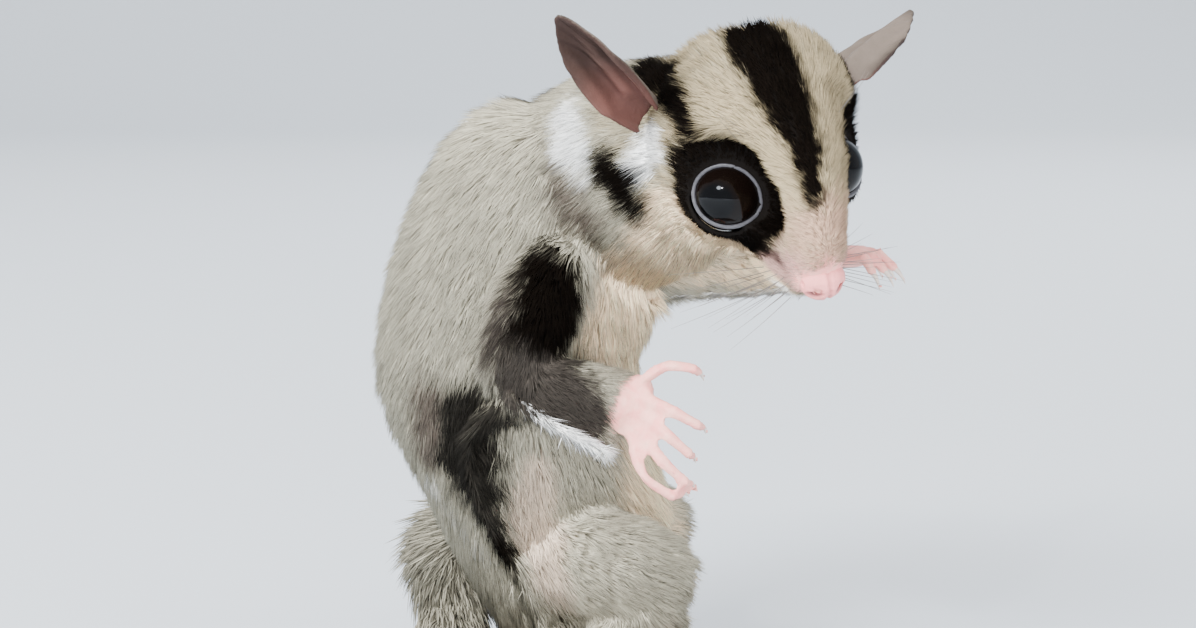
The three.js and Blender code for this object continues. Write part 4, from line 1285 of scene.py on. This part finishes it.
def sweep_tree(name, look):
    """A node tree that turns lines into round bodies that taper to a point."""
    tree = bpy.data.node_groups.new(name, "GeometryNodeTree")
    face = tree.interface
    face.new_socket("Geometry", in_out="INPUT", socket_type="NodeSocketGeometry")
    for title, value in (("Root radius", 0.0003), ("Tip radius", 0.00004), ("Sides", 8)):
        kind = "NodeSocketInt" if title == "Sides" else "NodeSocketFloat"
        socket = face.new_socket(title, in_out="INPUT", socket_type=kind)
        socket.default_value = value
    face.new_socket("Geometry", in_out="OUTPUT", socket_type="NodeSocketGeometry")
    nodes, links = tree.nodes, tree.links
    enter, leave = nodes.new("NodeGroupInput"), nodes.new("NodeGroupOutput")
    to_curve = nodes.new("GeometryNodeMeshToCurve")
    along = nodes.new("GeometryNodeSplineParameter")
    taper = nodes.new("ShaderNodeMapRange")
    radius = nodes.new("GeometryNodeSetCurveRadius")
    ring = nodes.new("GeometryNodeCurvePrimitiveCircle")
    sweep = nodes.new("GeometryNodeCurveToMesh")
    real = nodes.new("GeometryNodeRealizeInstances")
    paint = nodes.new("GeometryNodeSetMaterial")
    ring.inputs["Radius"].default_value = 1.0
    paint.inputs["Material"].default_value = look
    sweep.inputs["Fill Caps"].default_value = True
    links.new(enter.outputs["Geometry"], to_curve.inputs[0])
    links.new(to_curve.outputs[0], radius.inputs["Curve"])
    links.new(along.outputs["Factor"], taper.inputs["Value"])
    links.new(enter.outputs["Root radius"], taper.inputs["To Min"])
    links.new(enter.outputs["Tip radius"], taper.inputs["To Max"])
    links.new(taper.outputs[0], radius.inputs["Radius"])
    links.new(enter.outputs["Sides"], ring.inputs["Resolution"])
    links.new(radius.outputs[0], sweep.inputs["Curve"])
    links.new(ring.outputs[0], sweep.inputs["Profile Curve"])
    if "Scale" in sweep.inputs:
        links.new(taper.outputs[0], sweep.inputs["Scale"])
    links.new(sweep.outputs[0], real.inputs[0])
    links.new(real.outputs[0], paint.inputs[0])
    links.new(paint.outputs[0], leave.inputs[0])
    return tree


def swept_piece(name, paths, look, root_radius, tip_radius, sides):
    """One plain mesh of tapering bodies along the paths."""
    lines = path_edges(name + "_lines", paths)
    change = lines.modifiers.new("Sweep", "NODES")
    change.node_group = sweep_tree(name, look)
    sizes = {"Root radius": root_radius * MM, "Tip radius": tip_radius * MM, "Sides": sides}
    for item in change.node_group.interface.items_tree:
        if item.in_out == "INPUT" and item.name in sizes:
            change[item.identifier] = sizes[item.name]
    evaluated = lines.evaluated_get(bpy.context.evaluated_depsgraph_get())
    mesh = bpy.data.meshes.new_from_object(evaluated)
    bpy.data.objects.remove(lines)
    mesh.name = name
    made = placed(name, mesh)
    turn_outwards(made)
    shade_smooth(made)
    if not mesh.materials:
        mesh.materials.append(look)
    return made


def claw_paths():
    """A hooked line from the tip of every finger and toe."""
    paths = []
    for _, _, joint, tip in digits():
        ahead = unit(tip - joint)
        steps = np.linspace(0, 1, 7)
        drops = [np.array([0, 0, 0.35 * t - 1.05 * t * t]) for t in steps]
        paths.append(np.array([tip + ahead * (0.2 + 1.9 * t) + drop for t, drop in zip(steps, drops)]))
    return [np.maximum(path, (-999, -999, 0.12)) for path in paths]


def whisker_paths():
    """Whiskers from the muzzle's sides and a few over the eye."""
    random = np.random.default_rng(14)
    paths = []
    for side in (1, -1):
        for row in range(3):
            for column in range(5):
                root = np.array([10.8 - column * 1.0, side * (3.3 + column * 0.45), -7.2 - row * 1.3])
                drop = -0.34 - 0.16 * row + 0.06 * random.normal()
                out = unit(np.array([0.25 - 0.22 * column, side * (0.9 + 0.1 * row), drop]))
                paths.append((root, out, random.uniform(8, 15) * (0.7 + 0.08 * column), -0.10))
        for k in range(3):
            root = np.array([2.5 + 0.8 * k, side * (6.4 - 0.6 * k), 9.4 + 0.6 * k])
            out = unit(np.array([0.2, side * (0.6 + 0.1 * k), 0.9]))
            paths.append((root, out, random.uniform(5, 8), 0.0))
    made = []
    for root, out, length, droop in paths:
        steps = np.linspace(0, 1, 8)
        line = [root + out * length * t + np.array([-0.16 * t * t, 0, droop * t * t]) * length for t in steps]
        made.append(np.array([in_head(p) for p in line]))
    return made


# Stage. The camera's distance and aim are in layout millimetres and its pitch in degrees.
CAMERA_LENS = 100
CAMERA_AWAY = 443
CAMERA_PITCH = 8
CAMERA_AIM = (0, 0, 51.5)
SENSOR_WIDTH = 36
SKY_COLOUR = (0.86, 0.89, 0.94)
SKY_STRENGTH = 0.85


def make_camera():
    """The photo's view, from the animal's right and a little above."""
    data = bpy.data.cameras.new("camera")
    data.lens = CAMERA_LENS
    data.sensor_width = SENSOR_WIDTH
    data.clip_end = 20
    made = placed("camera", data)
    pitch = math.radians(CAMERA_PITCH)
    away = np.array([0, -math.cos(pitch), math.sin(pitch)]) * CAMERA_AWAY
    made.location = Vector(to_frame(np.array(CAMERA_AIM) + away))
    made.rotation_euler = (math.radians(90 - CAMERA_PITCH), 0, 0)
    bpy.context.scene.camera = made


def make_light(name, place, size, power, aim=(0, 0, 0.05), colour=(1, 1, 1), mirrored=False):
    """A round soft light; only a mirrored one shows in the eyes."""
    data = bpy.data.lights.new(name, "AREA")
    data.shape = "DISK"
    data.size = size
    data.energy = power
    data.color = colour
    made = placed(name, data)
    made.location = place
    made.rotation_euler = (Vector(aim) - Vector(place)).to_track_quat("-Z", "Y").to_euler()
    made.visible_glossy = mirrored


def make_floor(colour):
    """A pale floor that sweeps up behind the animal."""
    profile = [(-1.6, 0), (0.9, 0)]
    profile += [(0.9 + 0.5 * math.sin(a), 0.5 - 0.5 * math.cos(a)) for a in np.linspace(0.1, math.pi / 2, 14)]
    profile += [(1.4, 2.2)]
    points, faces = [], []
    for y, z in profile:
        points += [(-2.4, y, z), (2.4, y, z)]
    for i in range(len(profile) - 1):
        faces.append((2 * i, 2 * i + 1, 2 * i + 3, 2 * i + 2))
    made = mesh_from("studio_floor", np.array(points), faces, layout=False)
    finished(made, floor_look(colour))


# Settings that a user may change.
class GliderCoatSettings(bpy.types.PropertyGroup):
    amount: bpy.props.FloatProperty(
        name="Amount", description="Share of the full number of tufts",
        default=1.0, min=0.05, max=1.0, subtype="FACTOR",
    )
    width: bpy.props.FloatProperty(
        name="Tuft width", description="Half width of a body tuft",
        default=0.00015, unit="LENGTH", precision=5,
    )
    lift: bpy.props.FloatProperty(
        name="Lift", description="How steeply the hair stands off the skin",
        default=math.radians(24), subtype="ANGLE",
    )


class GliderSkinSettings(bpy.types.PropertyGroup):
    voxel: bpy.props.FloatProperty(
        name="Detail", description="Size of the skin's smallest detail",
        default=SKIN_VOXEL * MM, unit="LENGTH", precision=5,
    )
    floor: bpy.props.FloatVectorProperty(
        name="Floor", description="Colour of the studio floor",
        default=(0.55, 0.59, 0.635), subtype="COLOR",
    )


# Pieces that a later step needs.
MADE = {}


class GLIDER_OT_skin(bpy.types.Operator):
    """One skin over head, body, limbs and tail"""

    bl_idname = "glider.skin"
    bl_label = "Skin"

    def execute(self, context):
        made = make_skin(context.scene.glider_skin.voxel / MM)
        made.data.materials.append(skin_look())
        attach(made, "root")
        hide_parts(*FLESH, *TAIL_NODES)
        MADE["skin"] = made
        nose = make_nose(nose_look())
        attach(nose, "root")
        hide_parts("nose")
        return {"FINISHED"}


class GLIDER_OT_eyes(bpy.types.Operator):
    """Eyeballs and the naked rims of the lids"""

    bl_idname = "glider.eyes"
    bl_label = "Eyes"

    def execute(self, context):
        ball, rim = eye_look(), lid_look()
        for side, name in ((1, "eye_right"), (-1, "eye_left")):
            eye = make_eye(side, ball)
            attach(eye, "root")
            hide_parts(name)
            lids = make_lids(side, rim)
            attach(lids, "root")
        return {"FINISHED"}


class GLIDER_OT_ears(bpy.types.Operator):
    """Both ears"""

    bl_idname = "glider.ears"
    bl_label = "Ears"

    def execute(self, context):
        look = ear_look()
        for which in EARS:
            ear = make_ear(which, look)
            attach(ear, "root")
            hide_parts("ear_" + which)
        return {"FINISHED"}


class GLIDER_OT_claws(bpy.types.Operator):
    """Claws of the hands and feet, and the whiskers"""

    bl_idname = "glider.claws"
    bl_label = "Claws and whiskers"

    def execute(self, context):
        claws = swept_piece("claws", claw_paths(), claw_look(), 0.42, 0.05, 8)
        whiskers = swept_piece("whiskers", whisker_paths(), whisker_look(), 0.05, 0.012, 4)
        for piece in (claws, whiskers):
            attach(piece, "root")
        return {"FINISHED"}


# Pieces of the coat: name, groups of the body, tufts, width against the setting, size of a clump.
COAT_PIECES = [
    ("coat_face", ["face"], 47000, 0.62, 0.7),
    ("coat_crown", ["crown"], 38000, 0.8, 0.9),
    ("coat_neck", ["neck"], 42000, 0.9, 1.1),
    ("coat_trunk_near", ["trunk"], 48000, 0.95, 1.3),
    ("coat_trunk_far", ["trunk"], 45000, 0.95, 1.3),
    ("coat_arms", ["arm", "forearm", "arm_far", "forearm_far", "hand", "hand_far"], 36000, 0.85, 1.0),
    ("coat_legs", ["thigh1", "thigh-1", "shin1", "shin-1", "foot1", "foot-1"], 36000, 0.9, 1.1),
]
RIM_TUFTS = 9000
TAIL_TUFTS = 13500
TAIL_SPANS = {"coat_tail_root": (0.04, 0.5), "coat_tail_tip": (0.44, 1.0)}


class GLIDER_OT_coat(bpy.types.Operator):
    """Short fur as closed tufts that follow the lie of the hair"""

    bl_idname = "glider.coat"
    bl_label = "Coat"

    def execute(self, context):
        if "skin" not in MADE:
            raise RuntimeError("make the skin before the coat")
        settings = context.scene.glider_coat
        look = coat_look()
        coat = Coat(MADE["skin"], 7)
        half = {
            "coat_trunk_near": lambda p: p[:, 1] < 0,
            "coat_trunk_far": lambda p: p[:, 1] >= 0,
        }
        pieces = []
        for name, groups, count, width, clump in COAT_PIECES:
            pieces.append(
                coat_piece(
                    coat, name, groups, int(count * settings.amount), settings.width / MM * width,
                    settings.lift, look, half.get(name), clump,
                )
            )
        pieces.append(rim_piece(coat, int(RIM_TUFTS * settings.amount), look))
        for name, span in TAIL_SPANS.items():
            pieces.append(tail_piece(coat, name, span, int(TAIL_TUFTS * settings.amount), look))
        for piece in pieces:
            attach(piece, "root")
        return {"FINISHED"}


class GLIDER_OT_stage(bpy.types.Operator):
    """Floor, camera and soft studio light"""

    bl_idname = "glider.stage"
    bl_label = "Stage"

    def execute(self, context):
        make_floor(context.scene.glider_skin.floor)
        make_camera()
        make_light("window", (-0.55, -0.75, 0.75), 0.6, 21, colour=(1.0, 0.99, 0.97))
        make_light("fill", (0.75, -0.6, 0.25), 0.8, 10, colour=(0.98, 0.99, 1.0))
        make_light("side", (-0.95, -0.15, 0.30), 0.7, 17)
        make_light("low", (0.05, -0.95, 0.05), 0.5, 17, aim=(0.01, 0, 0.06))
        make_light("rim", (0.25, 0.7, 0.7), 0.6, 11)
        make_light("spark", (-0.20, -0.62, 0.52), 0.05, 2.2, mirrored=True)
        make_light("pane", (-0.40, -0.66, 0.58), 0.24, 6.0, colour=(0.85, 0.93, 1.0), mirrored=True)
        world = bpy.data.worlds.new("studio")
        world.use_nodes = True
        sky = world.node_tree.nodes["Background"]
        sky.inputs["Color"].default_value = rgba(SKY_COLOUR)
        sky.inputs["Strength"].default_value = SKY_STRENGTH
        context.scene.world = world
        return {"FINISHED"}


class GLIDER_PT_panel(bpy.types.Panel):
    """Lists what the model is made of"""

    bl_idname = "GLIDER_PT_panel"
    bl_label = "Sugar glider"
    bl_space_type = "VIEW_3D"
    bl_region_type = "UI"
    bl_category = "Glider"

    def draw(self, context):
        for group in (context.scene.glider_skin, context.scene.glider_coat):
            for key in group.__annotations__:
                self.layout.prop(group, key)
        for operator in OPERATORS:
            self.layout.operator(operator.bl_idname)


OPERATORS = [GLIDER_OT_skin, GLIDER_OT_eyes, GLIDER_OT_ears, GLIDER_OT_claws, GLIDER_OT_coat, GLIDER_OT_stage]
CLASSES = [GliderCoatSettings, GliderSkinSettings, *OPERATORS, GLIDER_PT_panel]


def register():
    for item in CLASSES:
        bpy.utils.register_class(item)
    bpy.types.Scene.glider_coat = bpy.props.PointerProperty(type=GliderCoatSettings)
    bpy.types.Scene.glider_skin = bpy.props.PointerProperty(type=GliderSkinSettings)


def unregister():
    del bpy.types.Scene.glider_skin
    del bpy.types.Scene.glider_coat
    for item in reversed(CLASSES):
        bpy.utils.unregister_class(item)


def main():
    register()
    bpy.ops.glider.skin()
    bpy.ops.glider.eyes()
    bpy.ops.glider.ears()
    bpy.ops.glider.claws()
    bpy.ops.glider.coat()
    bpy.ops.glider.stage()


if __name__ == "__main__":
    main()
